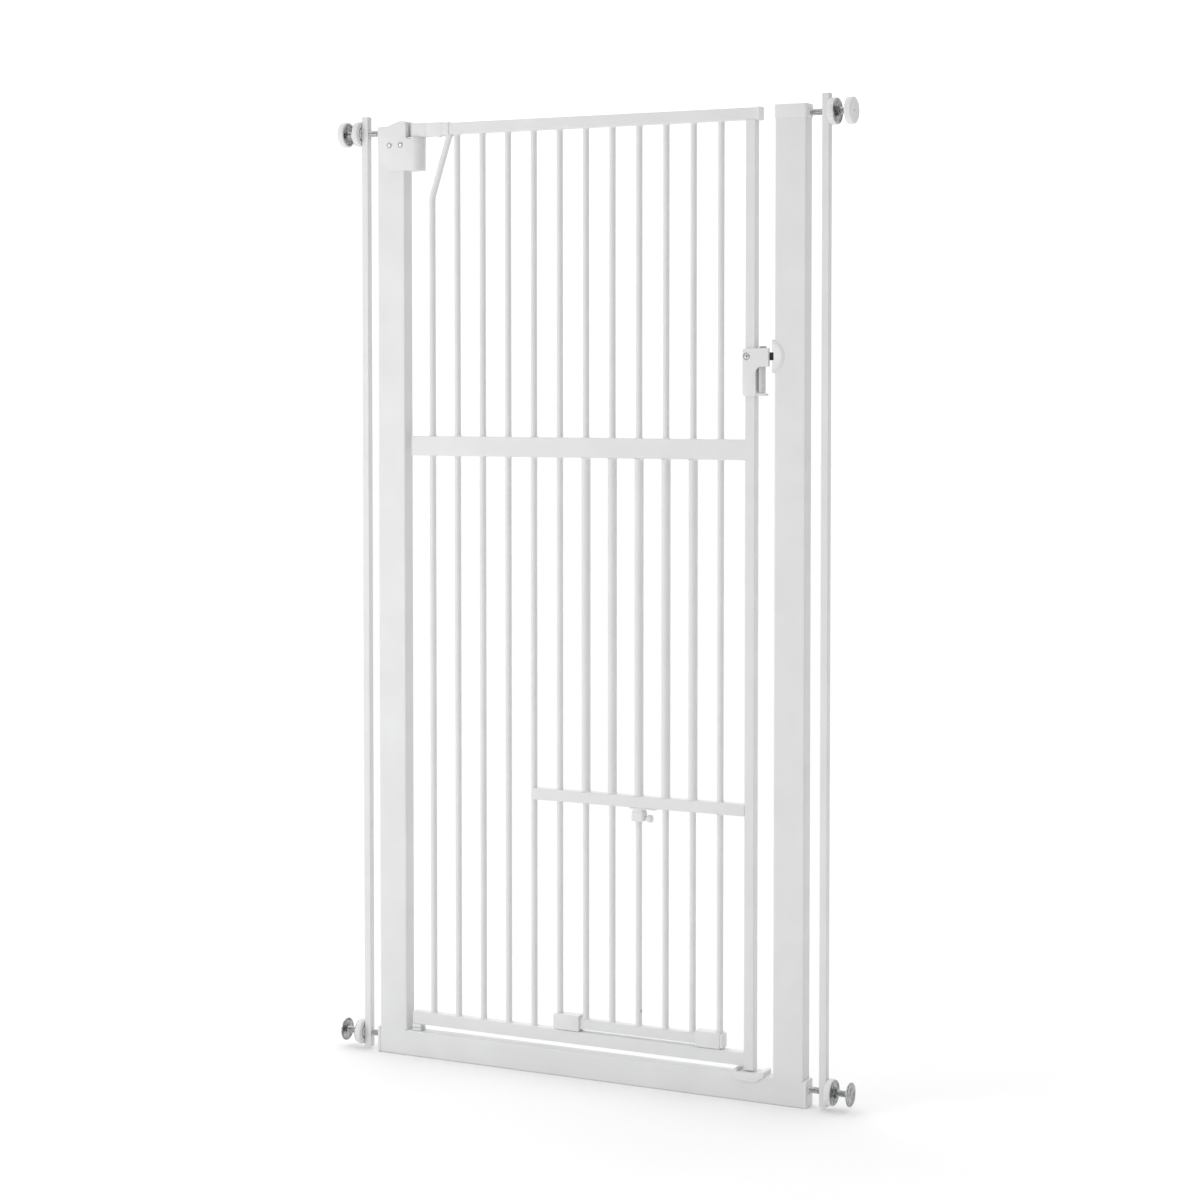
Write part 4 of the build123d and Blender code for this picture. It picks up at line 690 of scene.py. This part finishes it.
def make_door_plugs():
    inner = span("mid_rail", "X")[0]
    mid = tube_plug(inner - 2, inner, MID_LOW, MID_HIGH)
    low = tube_plug(inner - 2, inner, LOW_RAIL_LOW, LOW_RAIL_HIGH)
    collar = soften(block(*LOWER_HINGE, SEAT_TOP + 0.7, LOW_RAIL_LOW), 0.6, 3, 40)
    collar = cut(collar, rod("Z", RAIL_TOP, LOW_RAIL_LOW + 1, PIN_BORE, (HINGE_X, 0), 28))
    section = rounded_rect(STILE_LEFT, STILE_RIGHT, -DOOR_HALF, DOOR_HALF, 1.5)
    foot = prism(section, "Z", span("end_plugs", "Z")[0], span("latch_stile", "Z")[0])
    foot = soften(foot, 0.5, 3, 50)
    plugs = join([mid, low, collar, foot])
    piece("rail_plugs_and_foot", plugs, "door", PLASTIC, ["end_plugs"])
    section = rounded_rect(-DOOR_HALF - 1, DOOR_HALF + 1, TOP_RAIL_LOW - 1, TOP_RAIL_HIGH + 1, 2.5)
    cap = prism(section, "X", TOP_RAIL_RIGHT, span("top_rail_cap", "X")[1])
    piece("top_rail_end", soften(cap, 0.9, 4, 50), "door", PLASTIC, ["top_rail_cap"])


def make_frame_caps():
    x0, x1 = UPRIGHT_OUT, span("rail_end_caps", "X")[1]
    half = span("rail_end_caps", "Y")[1]
    high = span("rail_end_caps", "Z")[1]
    cap = prism(rounded_rect(-half, half, 0, high, 2.5), "X", x0, x1)
    cap = soften(cap, 0.9, 4, 50)
    cap = cut(cap, rod("X", x0 - OVER, x1 + OVER, BUSH_SEAT, (0, SPINDLE_LOW)))
    piece("rail_cap_pair", join([cap, mirrored(cap)]), "frame", PLASTIC, ["rail_end_caps"])
    cx0, cx1 = span("upright_top_cap", "X")
    cz0, cz1 = span("upright_top_cap", "Z")
    chalf = span("upright_top_cap", "Y")[1]
    top = prism(rounded_rect(cx0, cx1, -chalf, chalf, 4.0), "Z", cz0, cz1)
    top = soften(top, 1.2, 4, 50)
    section = rounded_rect(UPRIGHT_IN, UPRIGHT_OUT, -HALF_DEPTH, HALF_DEPTH, 2.5)
    inside = prism(section, "Z", cz0 - 5, cz1 - 1.5)
    hole = rod("X", cx1 - 3, cx1 + 3, BUSH_SEAT, (0, SPINDLE_TOP))
    piece("upright_cap", cut(top, inside, hole), "frame", PLASTIC, ["upright_top_cap"])


def make_side_plugs():
    """A plug with a softened edge in each end of the two side bars."""
    bar_low, bar_high = span("side_bar_right", "Z")
    for side, place in (("right", lambda shape: shape), ("left", swap)):
        shapes = []
        for low, high in ((SIDE_LOW, bar_low), (bar_high, SIDE_HIGH)):
            head = prism(rounded_rect(SIDE_IN, SIDE_OUT, -6, 6, 1.5), "Z", low, high)
            shapes.append(place(soften(head, 0.6, 3, 50)))
        piece(f"side_plugs_{side}", join(shapes), f"side_bar_{side[0]}", PLASTIC,
              [f"side_bar_plugs_{side}"])


# ---------------------------------------------------------------- pressure hardware
WHEEL_RADIUS = 20.0
WHEEL_BORE = 6.0               # radius of the wheel's hole, round the rod
NUT_SHANK = 8.0                # radius of the nut's body inside the wheel
NUT_DEPTH = 6.5                # how far it goes in
FLANGE_RADIUS = 19.0           # of the nut's flange, and the least radius that is grooved
GRIP_GROOVES = 36
GRIP_DEPTH = 0.55
ROD_RADIUS = 5.0
THREAD_PITCH = 1.5
THREAD_DEPTH = 0.85
ROD_TAPER = 1.2                # length of the bevel on the rod's inner end


def grip(angle, radius):
    """Shallow finger grooves round the rim of a hand wheel."""
    if radius < FLANGE_RADIUS:
        return radius
    return radius - GRIP_DEPTH * max(0.0, math.cos(GRIP_GROOVES * angle)) ** 2


def make_wheel(z):
    """A hand wheel: a hub, a groove round it and a flat face inwards, and the nut's pocket outwards."""
    inner = [(0.0, WHEEL_BORE), (0.0, 8.8), (0.4, 9.2), (6.0, 9.3), (6.0, 12.1), (0.4, 12.3), (0.0, 12.8),
             (0.0, 18.4), (0.5, 19.4), (1.4, WHEEL_RADIUS)]
    outer = [(1.2, WHEEL_RADIUS), (0.3, 19.6), (0.0, FLANGE_RADIUS), (0.0, NUT_SHANK),
             (NUT_DEPTH, NUT_SHANK), (NUT_DEPTH, WHEEL_BORE)]
    profile = [(WHEEL_IN + deep, r) for deep, r in inner] + [(WHEEL_OUT - deep, r) for deep, r in outer]
    return lathe(profile, "X", (0, z), 144, grip, closed=True)


def make_nut(z):
    """A flanged nut: a shank in the wheel, a flange with a pressed ring, and a hexagon outside."""
    hexagon_height, hexagon_radius = 4.0, 8.0
    flange = span("wheel_nut_top_right", "X")[1] - hexagon_height
    back = WHEEL_OUT - NUT_DEPTH + 0.1
    shank = [(back, 5.1), (back, NUT_SHANK - 0.1), (WHEEL_OUT, NUT_SHANK - 0.1)]
    rim = [(WHEEL_OUT + 0.02, 18.6), (WHEEL_OUT + 0.4, FLANGE_RADIUS), (flange - 0.4, FLANGE_RADIUS)]
    face = [(flange, 18.6), (flange, 16.6), (flange - 0.5, 15.8), (flange - 0.5, 11.4), (flange, 10.6),
            (flange, 9.4), (flange + 0.3, 9.0), (flange + 0.3, 5.1)]
    disc = lathe(shank + rim + face, "X", (0, z), 64, closed=True)
    corners = [math.radians(60 * k) for k in range(6)]
    hexagon = [(hexagon_radius * math.cos(a), z + hexagon_radius * math.sin(a)) for a in corners]
    nut = prism(hexagon, "X", flange, flange + hexagon_height)
    round_off = lathe([(flange - 1, 0), (flange - 1, 9), (flange + 3.2, 8.2), (flange + 4.1, 7.0),
                       (flange + 4.1, 0)], "X", (0, z), 48)
    bore = rod("X", flange - OVER, flange + OVER, ROD_RADIUS + 0.08, (0, z), 40)
    nut = soften(cut(keep(nut, round_off), bore), 0.25, 2, 35)
    return join([disc, nut])


def make_thread(x0, x1, z):
    """A threaded rod: its radius falls and rises once per pitch, a turn at a time."""
    steps, count = 5, 24
    total = int((x1 - x0) / THREAD_PITCH * steps)
    verts, faces = [], []
    for k in range(total + 1):
        x = x0 + (x1 - x0) * k / total
        taper = min(1.0, (x - x0) / ROD_TAPER + 0.65)
        for s in range(count):
            turn = s / count
            phase = (x / THREAD_PITCH - turn) % 1.0
            crest = 1.0 - abs(2 * phase - 1.0)
            groove = min(1.0, max(0.0, (0.85 - crest) / 0.7))
            r = (ROD_RADIUS - THREAD_DEPTH * groove) * taper
            verts.append((x, r * math.cos(2 * math.pi * turn), z + r * math.sin(2 * math.pi * turn)))
    for k in range(total):
        for s in range(count):
            n = (s + 1) % count
            faces.append([k * count + s, k * count + n, (k + 1) * count + n, (k + 1) * count + s])
    faces.append(list(range(count)))
    faces.append([total * count + s for s in range(count)])
    return mesh_object("thread", verts, faces)


def make_disc(x0, x1, z):
    """A stamped pad disc with a pressed ring, a turned rim and its rod riveted over in the middle."""
    back = [(x0, 0), (x0, 2.0), (x0, 6.2), (x0 + 0.35, 7.0), (x0 + 0.35, 13.4), (x0, 14.2), (x0, 17.0),
            (x0 + 0.5, 17.8), (x0 + 1.2, 18.0)]
    front = [(x1 - 0.6, 18.0), (x1, 17.3), (x1, 12.0), (x1 - 0.35, 11.2), (x1 - 0.35, 6.0), (x1 - 0.1, 5.0),
             (x1 - 0.1, 2.0), (x1 - 0.1, 0)]
    return lathe(back + front, "X", (0, z), 64)


def make_cover(x_back, x_face, z):
    """The soft cover: a rounded rim, a shallow dished face with a small hole, and a lip behind."""
    lip = x_back + 1.0
    disc_face = lip + 3.05
    rim = [(x_back, 17.0), (x_back, 19.2), (x_back + 0.6, 19.8), (x_back + 1.6, 20.0)]
    face = [(2.4, 20.0), (1.0, 19.6), (0.25, 18.6), (0.0, 17.2), (0.0, 15.0), (0.3, 14.2), (0.3, 2.4),
            (0.6, 1.5), (2.5, 1.2), (2.5, 0.01)]
    pocket = [(disc_face, 0.01), (disc_face, 18.05), (lip, 18.05), (lip, 17.0)]
    profile = rim + [(x_face - deep, r) for deep, r in face] + pocket
    return lathe(profile, "X", (0, z), 72, closed=True)


def make_hardware():
    """The wheel, nut, rod and disc at each corner, a cover on each top disc, and the bushes that the rods go
    through.
    """
    for level, z in (("top", SPINDLE_TOP), ("low", SPINDLE_LOW)):
        disc0, disc1 = span(f"pad_disc_{level}_right", "X")
        start = span(f"spindle_{level}_right", "X")[0]
        for side, place in (("right", lambda shape: shape), ("left", swap)):
            corner = f"{level}_{side}"
            wheel_body, screw_body = f"handwheel_{corner}", f"screw_{corner}"
            piece(f"hand_wheel_{corner}", place(make_wheel(z)), wheel_body, PLASTIC,
                  [f"wheel_{corner}"])
            piece(f"flanged_nut_{corner}", place(make_nut(z)), wheel_body, ZINC,
                  [f"wheel_nut_{corner}"])
            piece(f"threaded_rod_{corner}", place(make_thread(start, disc0, z)), screw_body, THREAD,
                  [f"spindle_{corner}"])
            piece(f"stamped_disc_{corner}", place(make_disc(disc0, disc1, z)), screw_body, ZINC,
                  [f"pad_disc_{corner}"])
            if level == "top":
                cover = make_cover(disc0 - 1.0, PAD_FACE, z)
                piece(f"soft_cover_{corner}", place(cover), screw_body, COVER,
                      [f"pad_cover_{corner}"])
    bushes = []
    flange = span("spindle_bushes", "Y")[1]
    cap_face = span("upright_top_cap", "X")[1]
    rail_face = span("rail_end_caps", "X")[1]
    for seat, z, on_right in ((cap_face, SPINDLE_TOP, True), (UPRIGHT_OUT, SPINDLE_TOP, False),
                              (rail_face, SPINDLE_LOW, True), (rail_face, SPINDLE_LOW, False)):
        profile = [(seat - 4, ROD_BORE), (seat - 4, BUSH_SEAT), (seat, BUSH_SEAT), (seat, flange),
                   (seat + 1.4, flange), (seat + 2.0, flange - 0.6), (seat + 2.0, ROD_BORE)]
        bush = lathe(profile, "X", (0, z), 36, closed=True)
        bushes.append(bush if on_right else swap(bush))
    piece("wall_bushes", join(bushes), "frame", PLASTIC, ["spindle_bushes"])


# ---------------------------------------------------------------- latch
def make_latch():
    """The case in two shells, and the trigger, tongue and button that move in it."""
    grip_right = STILE_RIGHT + 2.3
    head_low = BOLT_Z - 15.5
    lip_top = LATCH_LOW + 4.0
    lip_right = STILE_RIGHT + 15.0
    trig0, trig1 = span("latch_trigger", "X")
    button0, button1 = span("latch_button", "X")
    side = rounded([(LATCH_LEFT, LATCH_LOW, 4.0), (lip_right, LATCH_LOW, 1.6), (lip_right, lip_top, 1.6),
                    (grip_right + 0.5, lip_top, 5.5), (grip_right, head_low, 9.0), (LATCH_RIGHT, head_low, 2.6),
                    (LATCH_RIGHT, LATCH_HIGH, 2.6), (LATCH_LEFT, LATCH_HIGH - 1.2, 3.2)], 10)
    for name, sign in (("front", -1), ("back", 1)):
        shell = prism(side, "Y", *sorted((sign * SHELL_SEAM, sign * LATCH_HALF)))
        stile = block(STILE_LEFT, STILE_RIGHT, -DOOR_HALF, DOOR_HALF, LATCH_LOW - OVER, LATCH_HIGH + OVER)
        hollow = prism([(grip_right, -9.5), (LATCH_RIGHT - 2.0, -9.5), (LATCH_RIGHT - 2.0, -7.5),
                        (LATCH_RIGHT - 8.9, 9.5), (grip_right, 9.5)], "Z", head_low + 2.5, LATCH_HIGH - 2.5)
        shell = cut(shell, stile, hollow)
        narrow = block(grip_right + 0.6, lip_right + 5, sign * 9.6, sign * 20, LATCH_LOW - 5,
                       head_low - 5.5)
        wedge = prism([(LATCH_RIGHT, -7.0), (LATCH_RIGHT + 5, -7.0), (LATCH_RIGHT + 5, 20.0),
                       (LATCH_RIGHT - 7.7 * 27 / 19, 20.0)], "Z", LATCH_LOW - 5, LATCH_HIGH + 5)
        shell = cut(shell, narrow, wedge)
        shell = soften(shell, 0.7, 3, 35)
        mouth = block(LATCH_RIGHT - 6, LATCH_RIGHT + 5, -3.3, 3.3, BOLT_LOW - 0.3, BOLT_HIGH + 0.3)
        slot = block(trig0 - 3.4, trig1 + 0.4, -8.4, 8.4, head_low - 9.5, head_low + 5)
        button = block(button0 + 2.4, button1 - 0.9, -4.8, 4.8, LATCH_HIGH - 5, LATCH_HIGH + 5)
        shell = cut(shell, mouth, slot, button)
        if sign < 0:
            out, floor = -LATCH_HALF - 1, -LATCH_HALF + LATCH_WELL
            well = lathe([(out, 0), (out, 6.0), (floor, 5.6), (floor, 0)], "Y", (LATCH_SCREW_X, BOLT_Z), 36)
            shell = cut(shell, well)
        piece(f"latch_case_{name}", shell, "door", PLASTIC, [f"latch_shell_{name}"])
    trigger_low = span("latch_trigger", "Z")[0]
    trigger = prism(rounded_rect(trig0, trig1, -8, 8, 1.2), "Z", trigger_low, BOLT_LOW - 0.2)
    grooves = [block(trig1 - 0.5, trig1 + 1, -6.5, 6.5, z, z + 1.2)
               for z in (trigger_low + 4.7 + 4.0 * k for k in range(5))]
    trigger = soften(cut(trigger, *grooves), 0.3, 2, 40)
    # The trigger's darker plastic is painted shade, not its own colour.
    piece("squeeze_trigger", trigger, "trigger", TRIGGER_PAINTED_SHADE, ["latch_trigger"])
    tip = span("latch_bolt", "X")[1]
    nose = rounded([(trig0, -3, 0.4), (tip, -3, 1.6), (tip, 3, 1.6), (trig0, 3, 0.4)])
    bolt = soften(prism(nose, "Z", BOLT_LOW, BOLT_HIGH), 0.4, 3, 45)
    piece("latch_tongue", bolt, "trigger", BOLT, ["latch_bolt"])
    flange_low, cap_top = span("latch_button", "Z")
    cap = prism(rounded_rect(button0 + 2.7, button1 - 1.2, -4.5, 4.5, 1.6), "Z", flange_low + 1.0, cap_top)
    cap = soften(cap, 0.8, 4, 45)
    flange = block(button0, button1, -5.7, 5.7, flange_low, flange_low + 1.2)
    piece("release_button", join([cap, flange]), "button", BUTTON, ["latch_button"])


def make_strike():
    """The saddle: a shallow round cheek with a raised rim on each face of the upright, and a bolt slot."""
    radius = 25.7
    centre = UPRIGHT_IN - 9.0
    x0 = span("latch_strike", "X")[0]
    half = span("latch_strike", "Y")[1]
    low, high = BOLT_Z - radius - OVER, BOLT_Z + radius + OVER
    face = [(half - 1.0, 0), (half - 1.0, 18.9), (half - 0.15, 19.6), (half, 20.6), (half - 0.15, 21.6),
            (half - 0.7, 22.4), (half - 0.9, 23.6), (half - 1.5, 25.0), (half - 2.6, radius)]
    profile = [(-y, r) for y, r in face] + face[::-1]
    disc = lathe(profile, "Y", (centre, BOLT_Z), 96)
    spare = block(x0 - 2 * radius, x0, -40, 40, low, high)
    upright = block(UPRIGHT_IN, UPRIGHT_OUT, -HALF_DEPTH, HALF_DEPTH, low, high)
    slot = block(x0 - 2 * radius, UPRIGHT_IN - 0.9, -40, 40, BOLT_LOW - 0.8, BOLT_HIGH + 0.8)
    disc = soften(cut(disc, spare, upright, slot), 0.35, 2, 45)
    piece("strike_saddle", disc, "frame", PLASTIC, ["latch_strike"])


def make_floor_catch():
    """The clip over the bottom rail, with a stop at each side of the stile's foot."""
    x0, x1 = span("floor_catch", "X")
    half = span("floor_catch", "Y")[1]
    low, high = span("floor_catch", "Z")
    top = RAIL_TOP + 3.0
    side = [(x0, RAIL_TOP), (x0 + 7, low), (x1 - 14, low), (x1, RAIL_TOP), (x1, high), (x1 - 6, high),
            (x1 - 12, top), (x0 + 6, top), (x0 + 6, high), (x0, high)]
    clip = prism(side, "Y", -half, half)
    rail = prism(rounded_rect(-HALF_DEPTH, HALF_DEPTH, -10, RAIL_TOP, 2.5), "X", x0 - OVER, x1 + OVER)
    clip = soften(cut(clip, rail), 0.6, 3, 35)
    piece("stile_catch", clip, "frame", PLASTIC, ["floor_catch"])


# ---------------------------------------------------------------- pet door
def make_sleeves():
    """The sleeves at the ends of the pet door's rail, each with a smaller end round its fixed bar."""
    length = 45.0
    low, high = span("pet_sleeves", "Z")
    half = span("pet_sleeves", "Y")[1]

    def drawn(section, x0, x1):
        return prism(section, "X", min(x0, x1), max(x0, x1))

    shapes = []
    for side, index in ((-1, PET_BARS[0] - 1), (1, LAST_INDEX)):
        x = bar_x(index)
        outer = x + side * 7.9
        inner = outer - side * length
        collar = outer - side * 4.5
        body = drawn(rounded_rect(-half, half, low + 0.2, high, 2.2), inner, collar)
        body = soften(body, 0.7, 3, 50)
        end = drawn(rounded_rect(-half + 1.1, half - 1.1, low + 1.4, high - 1.2, 2.6), collar - side, outer)
        end = soften(end, 1.0, 3, 50)
        pocket = drawn(rounded_rect(-6.05, 6.05, PET_LOW_LOW - 0.05, PET_LOW_HIGH + 0.05, 1.5),
                       inner - side * 2, inner + side * 16)
        hole = rod("Z", low - OVER, high + OVER, ROD_BORE, (x, 0))
        shapes.append(cut(add(body, end), pocket, hole))
    piece("sliding_sleeves", join(shapes), "pet_door", PLASTIC, ["pet_sleeves"])


def make_pet_lock():
    """A collar hung under the pet rail round one sliding bar, and the pin that locks it."""
    x = bar_x(LOCK_BAR)
    low, high = span("pet_lock_body", "Z")
    left, right = x - 10.0, x + 11.5
    half = span("pet_lock_body", "Y")[1]
    body = prism(rounded_rect(left, right, -half, half, 4.5), "Z", low, high - 6.0)
    body = soften(body, 2.0, 5, 45)
    section = rounded_rect(left + 1.5, right - 1.5, -half + 1.5, half - 1.5, 3.5)
    neck = prism(section, "Z", high - 7.0, high - 1.0)
    flange = prism(rounded_rect(x - 13.0, x + 31.0, -DOOR_HALF, DOOR_HALF, 2.0), "Z", high - 2.0, high)
    flange = soften(flange, 0.5, 3, 45)
    body = add(body, neck, flange)
    bores = [rod("Z", low - OVER, high + OVER, ROD_BORE, (place, 0))
             for place in (x, bar_x(LOCK_BAR + 1))]
    bores.append(rod("X", x, right + OVER, LOCK_PIN_RADIUS + LOCK_PIN_PLAY, (0, LOCK_Z), 28))
    piece("lock_collar", cut(body, *bores), "door", PLASTIC, ["pet_lock_body"])
    tip, end = span("pet_lock_knob", "X")
    head = end - 7.0
    wide = span("pet_lock_knob", "Y")[1]
    pin = [(tip, 0), (tip, LOCK_PIN_RADIUS - 0.4), (tip + 0.5, LOCK_PIN_RADIUS),
           (head - 0.3, LOCK_PIN_RADIUS), (head, LOCK_PIN_RADIUS + 0.3)]
    knob = [(head, wide - 0.8), (head + 0.8, wide), (end - 3.4, wide), (end - 2.8, wide - 0.7),
            (end - 2.2, wide), (end - 0.8, wide - 0.2), (end - 0.15, wide - 1.0), (end, wide - 2.0), (end, 0)]
    knob = lathe(pin + knob, "X", (0, LOCK_Z), 40)
    piece("lock_pull", knob, "lock_knob", PLASTIC, ["pet_lock_knob"])


# ---------------------------------------------------------------- studio
def make_floor():
    """A round white floor, wide enough to reach the horizon."""
    radius, count = 30000.0, 96
    turns = [2 * math.pi * k / count for k in range(count)]
    verts = [(0, 0, 0)] + [(radius * math.cos(a), radius * math.sin(a), 0) for a in turns]
    faces = [[0, 1 + k, 1 + (k + 1) % count] for k in range(count)]
    floor = mesh_object("studio_floor", verts, faces)
    material, tree, shader, place = new_material("pale_floor")
    shades = ramp(tree, noise(tree, place, 3.0, 3.0), (0.93, 0.93, 0.93), (0.95, 0.95, 0.95))
    tree.links.new(shades, shader.inputs["Base Color"])
    shader.inputs["Roughness"].default_value = 0.9
    shader.inputs["Specular IOR Level"].default_value = 0.1
    floor.data.materials.append(material)


WORLD_LEVEL = 0.33             # light from the horizon
WORLD_TOP = 0.98               # how much more comes from above
WORLD_SIDES = (((-0.447, 0.894, 0.0), 0.72),   # a bright wall behind the gate
               ((1.0, 0.0, 0.0), -0.33))       # and a darker one on the latch side
WORLD_LEAST = 0.05


def make_world():
    """A soft white studio: bright above and behind, falling off on the latch side."""
    world = bpy.data.worlds.new("studio")
    scene.world = world
    world.use_nodes = True
    tree = world.node_tree
    tree.nodes.clear()
    output = tree.nodes.new("ShaderNodeOutputWorld")
    light = tree.nodes.new("ShaderNodeBackground")
    light.inputs["Color"].default_value = (1.0, 1.0, 1.0, 1.0)
    tree.links.new(light.outputs["Background"], output.inputs["Surface"])
    coords = tree.nodes.new("ShaderNodeTexCoord")

    def math_node(operation, first, second):
        node = tree.nodes.new("ShaderNodeMath")
        node.operation = operation
        for socket, value in zip(node.inputs, (first, second)):
            if isinstance(value, float):
                socket.default_value = value
            else:
                tree.links.new(value, socket)
        return node.outputs["Value"]

    def towards(direction):
        node = tree.nodes.new("ShaderNodeVectorMath")
        node.operation = "DOT_PRODUCT"
        node.inputs[1].default_value = direction
        tree.links.new(coords.outputs["Generated"], node.inputs[0])
        return node.outputs["Value"]

    level = math_node("ADD", towards((0.0, 0.0, WORLD_TOP)), WORLD_LEVEL)
    for direction, change in WORLD_SIDES:
        part = math_node("MULTIPLY", math_node("MAXIMUM", towards(direction), 0.0), change)
        level = math_node("ADD", level, part)
    tree.links.new(math_node("MAXIMUM", level, WORLD_LEAST), light.inputs["Strength"])


def make_light():
    """A tall soft box in front of the hinge side."""
    place, target = Vector((-1.7, -2.0, 0.85)), Vector((-0.2, 0.0, 0.75))
    data = bpy.data.lights.new("key", "AREA")
    data.shape = "RECTANGLE"
    data.size = 0.9
    data.size_y = 2.2
    data.energy = 17.0
    light = bpy.data.objects.new("key", data)
    light.location = place
    light.rotation_euler = (target - place).to_track_quat("-Z", "Y").to_euler()
    scene.collection.objects.link(light)


def make_camera():
    """A long lens a little above the middle of the gate, from the latch side."""
    data = bpy.data.cameras.new("view")
    data.sensor_width = 36.0
    data.lens = 78.0
    data.shift_y = -0.0998
    camera = bpy.data.objects.new("view", data)
    camera.location = (1.8278, -3.5946, 1.0910)
    camera.rotation_euler = (math.radians(90 - 2.207), 0.0, math.radians(26.66))
    scene.collection.objects.link(camera)
    scene.camera = camera


coat_kept_nodes()
make_bars()
make_bent_bar()
make_weld_fills()
make_housing()
make_screws()
make_hinge_bush()
make_hinge_plug()
make_lower_hinge()
make_door_plugs()
make_frame_caps()
make_side_plugs()
make_hardware()
make_latch()
make_strike()
make_floor_catch()
make_sleeves()
make_pet_lock()
make_floor()
make_world()
make_light()
make_camera()
scene.view_settings.view_transform = "Standard"
